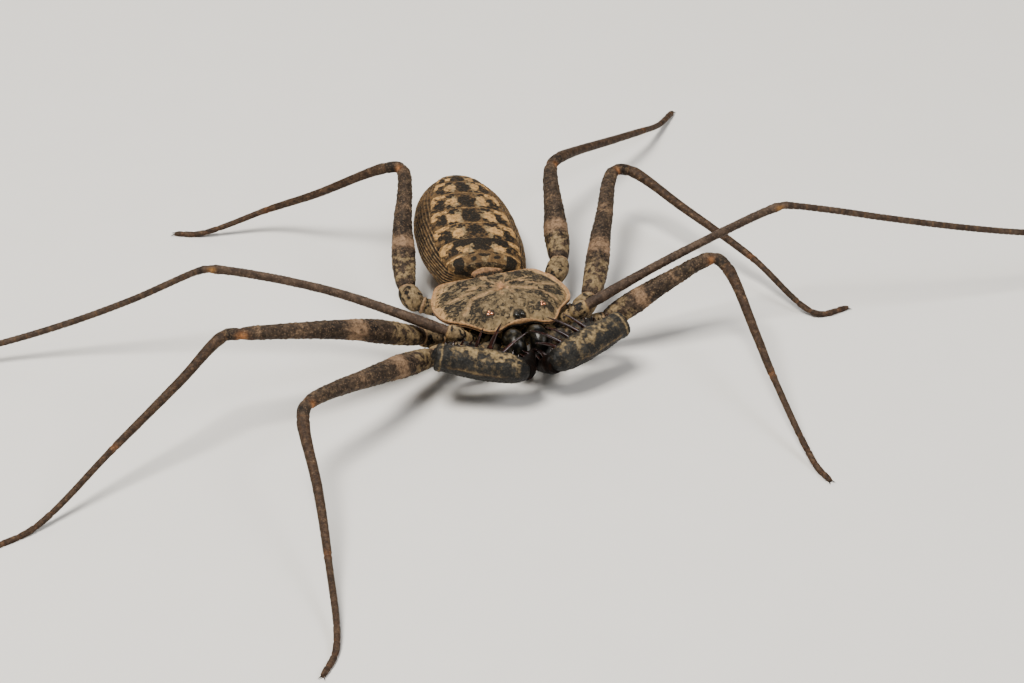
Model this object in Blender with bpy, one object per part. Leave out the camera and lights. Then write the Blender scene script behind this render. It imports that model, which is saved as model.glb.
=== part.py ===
"""Whip spider, Phrynus barbadensis, at life size, as a still museum model.

Every body part that a person would name is one closed solid.  Sizes and places below are in
millimetres, and each node is turned to metres when it is finished.  The animal faces -Y, its
left side is +X, up is +Z and its feet stand at z = 0.  Places are given in the animal's own
frame, whose origin is on the floor under the middle of the carapace, and BODY_AT then puts
the middle of the whole model on the world's origin.
"""
import math

import bmesh
import bpy
import numpy as np
from mathutils import Matrix, Vector

MM = 0.001
BODY_AT = Vector((-1.3, 3.2, 0.0))
JOINT_GAP = 0.3

# Carapace: a kidney-shaped shield with a low dome and a flared rim
CARAPACE_OUTLINE = (
    (0.0, -3.42), (0.95, -3.34), (2.15, -3.78), (2.8, -3.55), (3.3, -2.92), (3.85, -2.1), (4.5, -1.45),
    (5.25, -0.65), (5.6, 0.7), (5.35, 2.2), (4.9, 3.1), (4.3, 3.9), (3.75, 4.12), (2.9, 4.1), (1.5, 3.97),
    (0.0, 3.87),
)
CARAPACE_CENTRE = Vector((0.0, 0.6))
CARAPACE_RIM_HEIGHT = 4.0
CARAPACE_RIM_THICKNESS = 0.35
CARAPACE_SIDE_DROOP = 0.42
CARAPACE_FRONT_ARCH = 0.05
ARCH_HALF_WIDTH = 1.4
CARAPACE_DOME = 1.15
DOME_END = 0.95
CARAPACE_SAMPLES = 56
CARAPACE_HALF_WIDTH = 5.65
PROSOMA_ROLL = math.radians(2.0)
PROSOMA_TURN = math.radians(2.0)
FOVEA_PLACE = Vector((0.0, 0.9))
FOVEA_RADIUS = 0.45
FOVEA_DEPTH = 0.3
# Radial furrows: their directions and half width in degrees, and their depth
FURROW_ANGLES = (-8.0, 28.0, 58.0, 90.0)
FURROW_SPREAD = 8.0
FURROW_DEPTH = 0.12
# Rings of the shield from its middle: below from the inside out, then above from the rim in
RINGS_BELOW = (0.25, 0.7, 0.98)
RINGS_ABOVE = (1.0, 0.95, 0.89, 0.81, 0.71, 0.6, 0.48, 0.36, 0.24, 0.13, 0.04)
# Eyes: place on the shield, then half width, half depth and height of each low mound
EYE_GAP = 0.1
MEDIAN_EYES = Vector((0.0, -2.95))
MEDIAN_EYE_SIZE = (0.5, 0.32, 0.3)
LATERAL_EYES = Vector((2.2, -2.3))
LATERAL_EYE_SIZE = (0.34, 0.3, 0.26)
# The shield swells under the eyes: height and radius of each swelling
MEDIAN_SWELLING = (0.45, 0.55)
LATERAL_SWELLING = (0.2, 0.5)

# Jaws: the centre line of the left one, from its root to the tip of its fang
CHELICERA_POINTS = (
    (0.8, -2.7, 2.55), (0.86, -3.5, 2.75), (0.96, -4.58, 3.46), (0.97, -5.25, 3.28),
    (0.9, -5.52, 2.5), (0.77, -5.35, 1.85),
)

# Middle line of the sternum under the front body, and of the waist behind it
STERNUM_POINTS = ((0.0, -3.2, 1.55), (0.0, 0.0, 2.1), (0.0, 3.6, 2.3))
STERNUM_FLATNESS = 0.34
WAIST_POINTS = ((0.0, 3.9, 2.4), (0.03, 4.2, 2.5))

# Abdomen: nine raised tergites over a soft flank, each up to a share of the abdomen's length
ABDOMEN_FRONT = Vector((-0.05, 4.55, 2.95))
ABDOMEN_LENGTH = 16.75
ABDOMEN_HALF_WIDTH = 4.18
ABDOMEN_BOW = -0.25
ABDOMEN_TOP = 2.55
ABDOMEN_BOTTOM = 1.9
ABDOMEN_TURN = math.radians(-10.8)
ABDOMEN_DROOP = math.radians(-3.0)
ABDOMEN_ROLL = math.radians(4.0)
# Its outline: the share of its length where it is widest, how far it reaches from there, and
# the bevel that narrows its front end
ABDOMEN_WIDEST = 0.42
ABDOMEN_REACH = 0.585
ABDOMEN_BEVEL = 0.05
ABDOMEN_FRONT_SHARE = 0.72
ABDOMEN_SQUARENESS = 0.88
ABDOMEN_SIDES = 22
TERGITE_START = 0.016
TERGITE_ENDS = (0.045, 0.175, 0.32, 0.47, 0.637, 0.79, 0.88, 0.94, 0.978)
# Each tergite rises by a share of the step at its front, middle and rear edge
TERGITE_STEP = 0.16
TERGITE_RISES = (0.15, 0.55, 1.0)
TERGITE_EDGE = 0.006
# First tergite: a lens-shaped plate on the front of the abdomen, behind the shield's rear notch
FIRST_TERGITE = Vector((0.05, 4.46, 4.08))
FIRST_TERGITE_RADII = Vector((1.35, 0.34, 0.36))

# Hips: middle of each trochanter on the left side, mirrored for the right side
HIPS = {
    1: Vector((5.05, -2.8, 3.76)),
    2: Vector((6.5, -2.93, 2.28)),
    3: Vector((6.4, -0.4, 2.38)),
    4: Vector((6.1, 4.7, 2.8)),
}
COXA_ROOTS = {
    1: Vector((2.2, -1.6, 2.2)),
    2: Vector((2.4, -0.9, 2.0)),
    3: Vector((2.6, 0.6, 2.0)),
    4: Vector((2.3, 2.2, 2.1)),
}
COXA_SAG = 0.34
TROCHANTER_RADIUS = {1: 0.66, 2: 0.86, 3: 0.95, 4: 0.93}

# Walking legs: thigh, knee, top of the shin, calf, ankle, heel and toe of each leg
STANCE = {
    "2_right": (
        (-13.2, -7.6, 4.8), (-19.8, -11.6, 6.2), (-20.6, -13.1, 6.0), (-21.5, -19.3, 4.1),
        (-22.6, -25.0, 2.2), (-24.7, -33.3, 0.3), (-26.5, -35.8, 0.16),
    ),
    "2_left": (
        (12.0, -3.6, 5.3), (15.8, -4.1, 7.0), (16.4, -5.4, 6.8), (16.3, -11.8, 4.4),
        (16.1, -15.5, 3.1), (16.1, -24.1, 0.3), (16.4, -26.1, 0.16),
    ),
    "3_right": (
        (-13.2, -2.5, 5.8), (-22.4, -3.4, 8.0), (-23.6, -3.1, 7.9), (-27.8, -5.2, 6.0),
        (-33.8, -8.1, 3.3), (-41.1, -11.9, 0.3), (-44.8, -13.1, 0.16),
    ),
    "3_left": (
        (11.1, 7.6, 4.4), (14.6, 13.9, 5.2), (15.7, 13.5, 5.2), (18.4, 8.4, 4.0),
        (21.7, 1.8, 2.4), (24.6, -4.6, 0.3), (27.4, -4.5, 0.16),
    ),
    "4_right": (
        (-5.2, 9.5, 5.4), (-3.2, 15.6, 8.0), (-4.2, 16.5, 7.8), (-9.2, 20.1, 4.3),
        (-12.5, 22.5, 2.2), (-17.9, 23.8, 0.3), (-19.9, 24.7, 0.16),
    ),
    "4_left": (
        (7.6, 9.2, 4.5), (9.7, 15.7, 5.6), (10.7, 16.7, 5.6), (17.7, 21.7, 3.3),
        (21.1, 24.3, 2.0), (23.7, 26.8, 0.75), (26.0, 29.4, 0.16),
    ),
}
FEMUR_RADIUS = 0.98
SHIN_RADIUS = 0.42
TARSUS_RADIUS = 0.28

# Feeler legs: the femur up to the knee, then the long whip, whose far part lies past the photo
FEELER_FEMUR = {
    "right": ((-13.6, 3.4, 6.0), (-21.9, 6.9, 7.6)),
    "left": ((13.3, -2.3, 6.7), (22.1, -2.7, 9.7)),
}
WHIP = {
    "right": (
        (-22.7, 7.2, 7.4), (-27.7, 8.8, 4.9), (-33.2, 10.3, 2.8), (-39.0, 11.3, 1.5),
        (-47.0, 11.9, 0.9), (-55.0, 10.9, 0.8), (-63.0, 8.4, 0.9),
    ),
    "left": (
        (22.9, -2.8, 9.6), (26.3, -3.6, 8.9), (30.2, -4.4, 7.9), (36.9, -5.5, 6.2),
        (42.5, -6.1, 4.9), (50.0, -6.3, 3.4), (58.0, -5.2, 2.2), (65.6, -3.0, 1.5),
    ),
}
WHIP_RADIUS = 0.27
WHIP_TIP_RADIUS = 0.12
WHIP_LENGTHS = 3
WHIP_STATIONS = 14

# Pedipalps: elbow at the outer end of the tibia, wrist at its inner end, hand and claw
PALP_ROOT = Vector((1.3, -1.8, 1.7))
PALP_HIP = Vector((2.9, -4.15, 2.5))
PALP = {
    "right": {
        "elbow": Vector((-7.4, -6.3, 4.3)), "wrist": Vector((-1.5, -8.5, 3.1)),
        "hand": (Vector((-0.75, -7.3, 3.0)), Vector((-0.15, -6.3, 3.05))),
        "claw": (Vector((0.3, -6.0, 3.1)), Vector((0.95, -6.35, 2.95))),
    },
    "left": {
        "elbow": Vector((6.95, -6.35, 4.05)), "wrist": Vector((1.1, -8.2, 3.1)),
        "hand": (Vector((0.75, -6.7, 2.0)), Vector((0.2, -5.9, 1.7))),
        "claw": (Vector((-0.3, -5.8, 1.6)), Vector((-1.0, -6.1, 1.6))),
    },
}
PALP_HIP_RADIUS = 0.7
PALP_TIBIA_RADIUS = 1.22
# The tibia reaches this far past the middle of its elbow and of its wrist
TIBIA_PAST_ELBOW = 0.5
TIBIA_PAST_WRIST = 0.4
ELBOW_KNOB = 1.25
ELBOW_DROP = 0.5
ELBOW_BEND = Vector((-0.6, 0.0, -0.15))
PALP_FEMUR_RADIUS = 0.76
PALP_FEMUR_BOW = Vector((0.0, -0.2, 0.1))
PALP_HAND_RADIUS = 0.5
PALP_CLAW_RADIUS = 0.26
SPINE_RADIUS = 0.25
# Place along the tibia from the elbow, and length, of each spine of the upper row
TIBIA_SPINES = ((0.2, 0.8), (0.42, 1.9), (0.56, 2.2), (0.66, 1.2), (0.76, 2.6), (0.88, 1.4))
FEMUR_SPINES = ((0.3, 1.0), (0.5, 1.3), (0.7, 0.9))
LOWER_SPINE_SHARE = 0.6
LOWER_SPINES_FROM = 0.5
# Each row's place on a limb's section, in radii, and direction, for the left pedipalp
UPPER_ROW = (Vector((0.0, 0.72, 0.72)), Vector((-1.5, 0.64, 0.98)))
LOWER_ROW = (Vector((0.0, 0.85, -0.35)), Vector((-0.8, 0.75, -0.1)))
FEMUR_ROW = (Vector((0.0, -0.2, 0.9)), Vector((-0.3, -0.1, 1.0)))

# Sections: for each kind of piece, pairs of a share of its length and a share of its radius
CHELICERA_SECTIONS = (
    (0.0, 0.42), (0.2, 0.54), (0.42, 0.74), (0.58, 0.72), (0.72, 0.54), (0.86, 0.28), (1.0, 0.1),
)
STERNUM_SECTIONS = (
    (0.0, 0.55), (0.1, 1.3), (0.3, 2.3), (0.55, 2.9), (0.8, 2.6), (0.95, 1.6), (1.0, 1.0),
)
WAIST_SECTIONS = ((0.0, 0.7), (0.5, 0.8), (1.0, 0.7))
COXA_SECTIONS = ((0.0, 0.75), (0.35, 0.68), (0.8, 0.72), (1.0, 0.66))
PALP_COXA_SECTIONS = ((0.0, 0.4), (0.4, 0.62), (0.85, 0.62), (1.0, 0.5))
TROCHANTER_SECTIONS = ((0.0, 0.7), (0.12, 0.86), (0.5, 1.0), (0.88, 0.88), (1.0, 0.76))
FEMUR_SECTIONS = (
    (0.0, 0.74), (0.05, 0.86), (0.16, 0.97), (0.28, 1.0), (0.45, 0.84), (0.65, 0.7), (0.85, 0.6),
    (0.96, 0.56), (1.0, 0.46),
)
SHIN_SECTIONS = (
    (0.0, 1.05), (0.03, 1.25), (0.06, 1.22), (0.09, 1.1), (0.13, 1.0), (0.2, 0.95), (0.4, 0.88),
    (0.6, 0.82), (0.8, 0.76), (0.94, 0.74), (1.0, 0.68),
)
TARSUS_SECTIONS = (
    (0.0, 1.0), (0.05, 1.15), (0.12, 1.0), (0.35, 0.95), (0.6, 0.9), (0.75, 0.85), (0.88, 0.85),
    (0.97, 0.8), (1.0, 0.5),
)
FEELER_SECTIONS = (
    (0.0, 0.42), (0.06, 0.42), (0.3, 0.36), (0.6, 0.33), (0.93, 0.33), (0.98, 0.38), (1.0, 0.3),
)
PALP_TIBIA_SECTIONS = (
    (0.0, 0.7), (0.03, 0.84), (0.1, 0.88), (0.3, 0.98), (0.6, 1.04), (0.8, 0.98), (0.92, 0.82),
    (1.0, 0.42),
)
KNOB_SECTIONS = ((0.0, 0.8), (0.6, 0.72), (1.0, 0.5))
PALP_FEMUR_SECTIONS = (
    (0.0, 0.7), (0.12, 0.9), (0.35, 1.0), (0.6, 0.86), (0.8, 0.66), (0.92, 0.54), (1.0, 0.44),
)
PALP_HIP_SECTIONS = ((0.0, 0.78), (0.18, 0.96), (0.5, 1.08), (0.82, 0.96), (1.0, 0.78))
PALP_HAND_SECTIONS = ((0.0, 0.8), (0.3, 1.0), (0.7, 0.9), (1.0, 0.6))
PALP_CLAW_SECTIONS = ((0.0, 1.0), (0.5, 0.8), (1.0, 0.25))

COLOURS = {
    "carapace": ((0.30, 0.22, 0.14), 0.55),
    "underside": ((0.22, 0.15, 0.09), 0.6),
    "abdomen": ((0.28, 0.17, 0.10), 0.6),
    "leg": ((0.10, 0.055, 0.035), 0.5),
    "shin": ((0.13, 0.06, 0.045), 0.45),
    "palp": ((0.06, 0.055, 0.05), 0.5),
    "chelicera": ((0.012, 0.011, 0.011), 0.18),
    "eye": ((0.008, 0.008, 0.010), 0.08),
}


def clear_scene():
    """Removes whatever objects the opened file holds."""
    for item in list(bpy.data.objects):
        bpy.data.objects.remove(item, do_unlink=True)


def make_materials():
    """Makes one plain material for each kind of surface."""
    materials = {}
    for name, (colour, roughness) in COLOURS.items():
        material = bpy.data.materials.new(name)
        material.use_nodes = True
        shader = material.node_tree.nodes["Principled BSDF"]
        shader.inputs["Base Color"].default_value = (*colour, 1.0)
        shader.inputs["Roughness"].default_value = roughness
        materials[name] = material
    return materials


def mesh_from_rings(name, rings):
    """Makes a closed mesh that is skinned over rings of equal counts and capped at both ends."""
    bm = bmesh.new()
    rows = [[bm.verts.new(point) for point in ring] for ring in rings]
    for row, following in zip(rows, rows[1:]):
        for index in range(len(row)):
            bm.faces.new((row[index - 1], row[index], following[index], following[index - 1]))
    bm.faces.new(rows[0])
    bm.faces.new(rows[-1])
    bmesh.ops.recalc_face_normals(bm, faces=bm.faces)
    mesh = bpy.data.meshes.new(name)
    bm.to_mesh(mesh)
    bm.free()
    piece = bpy.data.objects.new(name, mesh)
    bpy.context.scene.collection.objects.link(piece)
    return piece


class Route:
    """A smooth curve through given points, measured by the distance along it."""

    STEPS = 16

    def __init__(self, points):
        knots = [Vector(point) for point in points]
        knots = [knots[0] * 2 - knots[1], *knots, knots[-1] * 2 - knots[-2]]
        places = [knots[1]]
        for index in range(1, len(knots) - 2):
            before, start, end, after = knots[index - 1:index + 3]
            for step in range(1, self.STEPS + 1):
                places.append(self.between(before, start, end, after, step / self.STEPS))
        self.places = np.array(places)
        steps = np.linalg.norm(np.diff(self.places, axis=0), axis=1)
        self.distances = np.concatenate(([0.0], np.cumsum(steps)))
        self.length = float(self.distances[-1])

    @staticmethod
    def between(before, start, end, after, share):
        """One point of a centripetal Catmull-Rom span."""
        times = [0.0]
        for near, far in ((before, start), (start, end), (end, after)):
            times.append(times[-1] + math.sqrt((far - near).length))
        t = times[1] + share * (times[2] - times[1])

        def mix(a, b, low, high):
            return a * ((high - t) / (high - low)) + b * ((t - low) / (high - low))

        first = mix(before, start, times[0], times[1])
        middle = mix(start, end, times[1], times[2])
        last = mix(end, after, times[2], times[3])
        return mix(mix(first, middle, times[0], times[2]), mix(middle, last, times[1], times[3]),
                   times[1], times[2])

    def at(self, distance):
        """The point at a distance along the curve, or straight on past its ends."""
        if distance < 0.0:
            return self.at(0.0) - self.along(0.0) * -distance
        if distance > self.length:
            return self.at(self.length) + self.along(self.length) * (distance - self.length)
        return Vector([float(np.interp(distance, self.distances, self.places[:, axis])) for axis in range(3)])

    def along(self, distance):
        """The direction of the curve at a distance along it."""
        half = 0.08
        low = min(max(distance - half, 0.0), self.length - 2 * half)
        return (self.at(low + 2 * half) - self.at(low)).normalized()

    def nearest(self, point):
        """The distance along the curve of its place nearest to a point."""
        return float(self.distances[np.argmin(np.linalg.norm(self.places - np.array(point), axis=1))])


def frames_along(route, distances):
    """Place, side and upward direction at each distance, turned as little as possible."""
    frames = []
    up = Vector((0.0, 0.0, 1.0))
    for distance in distances:
        along = route.along(distance)
        side = along.cross(up)
        if side.length < 1e-3:
            side = along.cross(Vector((0.0, 1.0, 0.0)))
        side.normalize()
        up = side.cross(along).normalized()
        frames.append((route.at(distance), side, up))
    return frames


def tube(name, route, start, end, sections, size=1.0, sides=8, depth=1.0, on_floor=False):
    """Makes a tube along part of a route; its sections' radii are multiplied by its size."""
    distances = [start + share * (end - start) for share, _ in sections]
    rings = []
    for (place, side, up), (_, scale) in zip(frames_along(route, distances), sections):
        radius = size * scale
        ring = []
        for index in range(sides):
            angle = 2 * math.pi * (index + 0.5) / sides
            point = place + side * (radius * math.cos(angle)) + up * (radius * depth * math.sin(angle))
            if on_floor:
                point.z = max(point.z, 0.0)
            ring.append(point)
        rings.append(ring)
    return mesh_from_rings(name, rings)


def spine(root, direction, length, radius=SPINE_RADIUS, sides=5, sunk=0.3):
    """Makes one tapered spine whose root is sunk below the surface that it grows from."""
    direction = direction.normalized()
    bpy.ops.mesh.primitive_cone_add(vertices=sides, radius1=radius, radius2=0.03, depth=length + sunk)
    piece = bpy.context.object
    turn = direction.to_track_quat("Z", "Y").to_matrix().to_4x4()
    middle = root + direction * ((length - sunk) / 2)
    piece.data.transform(Matrix.Translation(middle) @ turn)
    return piece


def keep_largest(mesh):
    """Keeps only the largest closed surface of a mesh."""
    bm = bmesh.new()
    bm.from_mesh(mesh)
    remaining = set(bm.verts)
    bodies = []
    while remaining:
        body = {remaining.pop()}
        edge_of_body = list(body)
        while edge_of_body:
            vertex = edge_of_body.pop()
            for edge in vertex.link_edges:
                other = edge.other_vert(vertex)
                if other not in body:
                    body.add(other)
                    edge_of_body.append(other)
        remaining -= body
        bodies.append(body)
    bodies.sort(key=lambda body: max(v.co.x for v in body) - min(v.co.x for v in body))
    for body in bodies[:-1]:
        bmesh.ops.delete(bm, geom=list(body), context="VERTS")
    bm.to_mesh(mesh)
    bm.free()


def fuse(base, others):
    """Joins closed pieces to a base piece with one Boolean union, and returns the base."""
    group = bpy.data.collections.new(base.name + "_joined")
    bpy.context.scene.collection.children.link(group)
    for piece in others:
        group.objects.link(piece)
    union = base.modifiers.new("join", "BOOLEAN")
    union.operation = "UNION"
    union.operand_type = "COLLECTION"
    union.collection = group
    evaluated = base.evaluated_get(bpy.context.evaluated_depsgraph_get())
    joined = bpy.data.meshes.new_from_object(evaluated)
    base.modifiers.remove(union)
    base.data = joined
    for piece in others:
        bpy.data.objects.remove(piece, do_unlink=True)
    bpy.data.collections.remove(group)
    keep_largest(joined)
    return base


def finish(piece, name, material, parts):
    """Names a node, turns it to metres in the world's frame and puts it in the parts' collection."""
    piece.name = name
    piece.data.name = name
    piece.data.transform(Matrix.Scale(MM, 4) @ Matrix.Translation(BODY_AT))
    piece.data.materials.clear()
    piece.data.materials.append(material)
    piece.data.shade_smooth()
    piece.data.set_sharp_from_angle(angle=math.radians(40))
    for collection in list(piece.users_collection):
        collection.objects.unlink(piece)
    parts.objects.link(piece)


def mirrored(point, side):
    """A left-side point, or its mirror image for the right side."""
    sign = 1.0 if side == "left" else -1.0
    return Vector((sign * point.x, point.y, point.z))


def pose_prosoma(piece):
    """Tilts a piece of the shield a little to the animal's left, and turns it a little."""
    pivot = Vector((0.0, 0.0, CARAPACE_RIM_HEIGHT))
    turn = Matrix.Rotation(PROSOMA_TURN, 4, "Z") @ Matrix.Rotation(PROSOMA_ROLL, 4, "Y")
    piece.data.transform(Matrix.Translation(pivot) @ turn @ Matrix.Translation(-pivot))


def closed_outline(half, count):
    """Evenly spaced points round a symmetric outline that is given as its left half."""
    left = [Vector((x, y, 0.0)) for x, y in half]
    right = [Vector((-x, y, 0.0)) for x, y in half[-2:0:-1]]
    loop = left + right
    route = Route([*loop[-2:], *loop, *loop[:3]])
    first = float(route.distances[2 * Route.STEPS])
    last = float(route.distances[(len(loop) + 2) * Route.STEPS])
    points = [route.at(first + (last - first) * index / count) for index in range(count)]
    return [Vector((point.x, point.y)) for point in points]


def swelling(point, middle, height, radius):
    """Height at a place of a smooth round swelling."""
    return height * math.exp(-((point - middle).length / radius) ** 2)


def carapace_rise(point, share):
    """Height of the shield above its rim, at a place and a share of the way out to the rim."""
    rise = CARAPACE_DOME * max(0.0, 1.0 - (share / DOME_END) ** 2.6) ** 0.75
    offset = point - CARAPACE_CENTRE
    angle = math.degrees(math.atan2(offset.y, abs(offset.x)))
    band = math.sin(math.pi * min(1.0, max(0.0, (share - 0.1) / 0.8)))
    for furrow in FURROW_ANGLES:
        rise -= FURROW_DEPTH * band * math.exp(-((angle - furrow) / FURROW_SPREAD) ** 2)
    rise -= swelling(point, FOVEA_PLACE, FOVEA_DEPTH, FOVEA_RADIUS)
    rise += swelling(point, MEDIAN_EYES, *MEDIAN_SWELLING)
    for side in (-1.0, 1.0):
        rise += swelling(point, Vector((side * LATERAL_EYES.x, LATERAL_EYES.y)), *LATERAL_SWELLING)
    return rise


def rim_height(point):
    """Height of the shield's rim, which droops at the sides and arches over the jaws."""
    droop = CARAPACE_SIDE_DROOP * (point.x / CARAPACE_HALF_WIDTH) ** 2
    arch = CARAPACE_FRONT_ARCH * math.exp(-(point.x / ARCH_HALF_WIDTH) ** 2) if point.y < 0.0 else 0.0
    return CARAPACE_RIM_HEIGHT - droop + arch


def make_carapace():
    """The shield over the front body, domed above and flat below."""
    outline = closed_outline(CARAPACE_OUTLINE, CARAPACE_SAMPLES)
    rings = []
    for share in RINGS_BELOW:
        ring = [CARAPACE_CENTRE + (point - CARAPACE_CENTRE) * share for point in outline]
        rings.append([(p.x, p.y, rim_height(p) - CARAPACE_RIM_THICKNESS) for p in ring])
    for share in RINGS_ABOVE:
        ring = [CARAPACE_CENTRE + (point - CARAPACE_CENTRE) * share for point in outline]
        rings.append([(p.x, p.y, rim_height(q) + carapace_rise(p, share)) for p, q in zip(ring, outline)])
    carapace = mesh_from_rings("carapace", rings)
    pose_prosoma(carapace)
    return carapace


def carapace_share(point):
    """Share of the way out to the rim of a place on the shield."""
    offset = point - CARAPACE_CENTRE
    outline = closed_outline(CARAPACE_OUTLINE, CARAPACE_SAMPLES)
    best = max(outline, key=lambda rim: (rim - CARAPACE_CENTRE).normalized().dot(offset.normalized()))
    return offset.length / (best - CARAPACE_CENTRE).length


def carapace_top(point):
    """Height of the shield's upper surface at a place."""
    return rim_height(point) + carapace_rise(point, carapace_share(point))


def make_eyes(name, place, half_width, half_depth, height):
    """A low oval eye mound that follows the shield's surface a hair's breadth above it."""
    rings = []
    for share, rise in ((0.5, 0.0), (1.0, 0.0), (1.0, 0.35), (0.85, 0.75), (0.45, 1.0)):
        ring = []
        for index in range(10):
            angle = 2 * math.pi * index / 10
            offset = Vector((half_width * share * math.cos(angle), half_depth * share * math.sin(angle)))
            top = max(carapace_top(place + offset), carapace_top(place + offset * 0.5))
            ring.append((place.x + offset.x, place.y + offset.y, top + EYE_GAP + height * rise))
        rings.append(ring)
    eyes = mesh_from_rings(name, rings)
    pose_prosoma(eyes)
    return eyes


def make_underside():
    """The sternum and the coxae of the palps and legs, joined as one piece."""
    middle = Route(STERNUM_POINTS)
    base = tube("underside", middle, 0.0, middle.length, STERNUM_SECTIONS, sides=16, depth=STERNUM_FLATNESS)
    pieces = []
    for side in ("left", "right"):
        for number, root in COXA_ROOTS.items():
            hip = mirrored(HIPS[number], side)
            start = mirrored(root, side)
            route = Route([start, (start + hip) / 2 - Vector((0.0, 0.0, COXA_SAG)), hip])
            radius = TROCHANTER_RADIUS[number]
            reach = route.length - radius - JOINT_GAP
            pieces.append(tube("coxa", route, 0.0, reach, COXA_SECTIONS, size=radius))
        start = mirrored(PALP_ROOT, side)
        hip = mirrored(PALP_HIP, side)
        route = Route([start, (start + hip) / 2, hip])
        reach = route.length - PALP_HIP_RADIUS - JOINT_GAP
        pieces.append(tube("palp_coxa", route, 0.0, reach, PALP_COXA_SECTIONS))
    return fuse(base, pieces)


def make_pedicel():
    """The narrow waist between the front body and the abdomen."""
    waist = Route(WAIST_POINTS)
    return tube("pedicel", waist, 0.0, waist.length, WAIST_SECTIONS, sides=12)


def abdomen_width_share(u):
    """Share of the greatest width at a share of the length; the front end is bevelled."""
    bevel = math.sqrt(1.0 - max(0.0, 1.0 - u / ABDOMEN_BEVEL) ** 2)
    outline = max(0.0, 1.0 - abs((u - ABDOMEN_WIDEST) / ABDOMEN_REACH) ** 2.3) ** 0.55
    return outline * (ABDOMEN_FRONT_SHARE + (1.0 - ABDOMEN_FRONT_SHARE) * bevel)


def make_abdomen():
    """The abdomen, with its tergites raised as overlapping plates."""
    stations = [(0.0, 0.0), (TERGITE_START - TERGITE_EDGE, 0.0)]
    for start, end in zip((TERGITE_START, *TERGITE_ENDS), TERGITE_ENDS):
        places = (start + TERGITE_EDGE, (start + end) / 2, end - TERGITE_EDGE)
        stations += zip(places, TERGITE_RISES)
    stations.append((0.995, 0.0))
    rings = []
    for u, raised in stations:
        share = abdomen_width_share(u)
        bow = ABDOMEN_BOW * math.sin(math.pi * u)
        ring = []
        for index in range(ABDOMEN_SIDES):
            angle = 2 * math.pi * (index + 0.5) / ABDOMEN_SIDES
            across = math.copysign(abs(math.cos(angle)) ** ABDOMEN_SQUARENESS, math.cos(angle))
            rise = math.copysign(abs(math.sin(angle)) ** ABDOMEN_SQUARENESS, math.sin(angle))
            height = ABDOMEN_TOP if rise > 0.0 else ABDOMEN_BOTTOM
            lift = raised * TERGITE_STEP if rise > 0.35 else 0.0
            ring.append(Vector((across * ABDOMEN_HALF_WIDTH * share + bow, u * ABDOMEN_LENGTH,
                                rise * height * share ** 0.75 + lift)))
        rings.append(ring)
    abdomen = mesh_from_rings("abdomen", rings)
    turn = Matrix.Rotation(ABDOMEN_TURN, 4, "Z") @ Matrix.Rotation(ABDOMEN_DROOP, 4, "X")
    turn = turn @ Matrix.Rotation(ABDOMEN_ROLL, 4, "Y")
    abdomen.data.transform(Matrix.Translation(ABDOMEN_FRONT) @ turn)
    bpy.ops.mesh.primitive_uv_sphere_add(segments=14, ring_count=8, radius=1.0)
    first_tergite = bpy.context.object
    size = Matrix.Diagonal((*FIRST_TERGITE_RADII, 1.0))
    first_tergite.data.transform(Matrix.Translation(FIRST_TERGITE) @ size)
    return fuse(abdomen, [first_tergite])


def make_chelicera(side):
    """One jaw: a domed base under the front of the shield, with a fang turned down."""
    route = Route([mirrored(Vector(point), side) for point in CHELICERA_POINTS])
    return tube("chelicera", route, 0.0, route.length, CHELICERA_SECTIONS, sides=10)


def leg_route(number, side):
    """The centre line of a walking leg from its hip to its toe."""
    hip = mirrored(HIPS[number], side)
    return Route([hip, *STANCE[f"{number}_{side}"]])


def make_trochanter(number, side, onward):
    """The round hip piece between a coxa and the leg's femur, with flat faces to both."""
    hip = mirrored(HIPS[number], side)
    root = mirrored(COXA_ROOTS[number], side)
    radius = TROCHANTER_RADIUS[number]
    inward = (root - hip).normalized()
    route = Route([hip + inward * radius, hip, hip + onward * radius])
    return tube("trochanter", route, 0.0, route.length, TROCHANTER_SECTIONS, size=radius, sides=10)


def make_walking_leg(number, side):
    """The four pieces of one walking leg, by name."""
    route = leg_route(number, side)
    radius = TROCHANTER_RADIUS[number]
    knee = route.nearest(STANCE[f"{number}_{side}"][1])
    ankle = route.nearest(STANCE[f"{number}_{side}"][4])
    half = JOINT_GAP / 2
    return {
        "trochanter": make_trochanter(number, side, route.along(radius)),
        "femur": tube("femur", route, radius + JOINT_GAP, knee - half, FEMUR_SECTIONS,
                      size=FEMUR_RADIUS, sides=10, depth=0.9),
        "tibia": tube("tibia", route, knee + half, ankle - half, SHIN_SECTIONS, size=SHIN_RADIUS),
        "tarsus": tube("tarsus", route, ankle + half, route.length, TARSUS_SECTIONS,
                       size=TARSUS_RADIUS, on_floor=True),
    }


def make_feeler(side):
    """The pieces of one feeler leg: hip, femur and a few lengths of whip."""
    hip = mirrored(HIPS[1], side)
    route = Route([hip, *FEELER_FEMUR[side], *WHIP[side]])
    radius = TROCHANTER_RADIUS[1]
    knee = route.nearest(FEELER_FEMUR[side][1])
    half = JOINT_GAP / 2
    pieces = {
        "trochanter": make_trochanter(1, side, route.along(radius)),
        "femur": tube("femur", route, radius + JOINT_GAP, knee - half, FEELER_SECTIONS),
    }
    length = (route.length - knee) / WHIP_LENGTHS
    for index in range(WHIP_LENGTHS):
        start = knee + index * length + half
        end = knee + (index + 1) * length - half
        if index == WHIP_LENGTHS - 1:
            end = route.length
        sections = []
        for step in range(WHIP_STATIONS + 1):
            share = step / WHIP_STATIONS
            whole = (index + share) / WHIP_LENGTHS
            sections.append((share, WHIP_RADIUS + (WHIP_TIP_RADIUS - WHIP_RADIUS) * whole ** 3))
        pieces[f"whip_{index + 1}"] = tube("whip", route, start, end, sections, sides=6)
    return pieces


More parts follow.
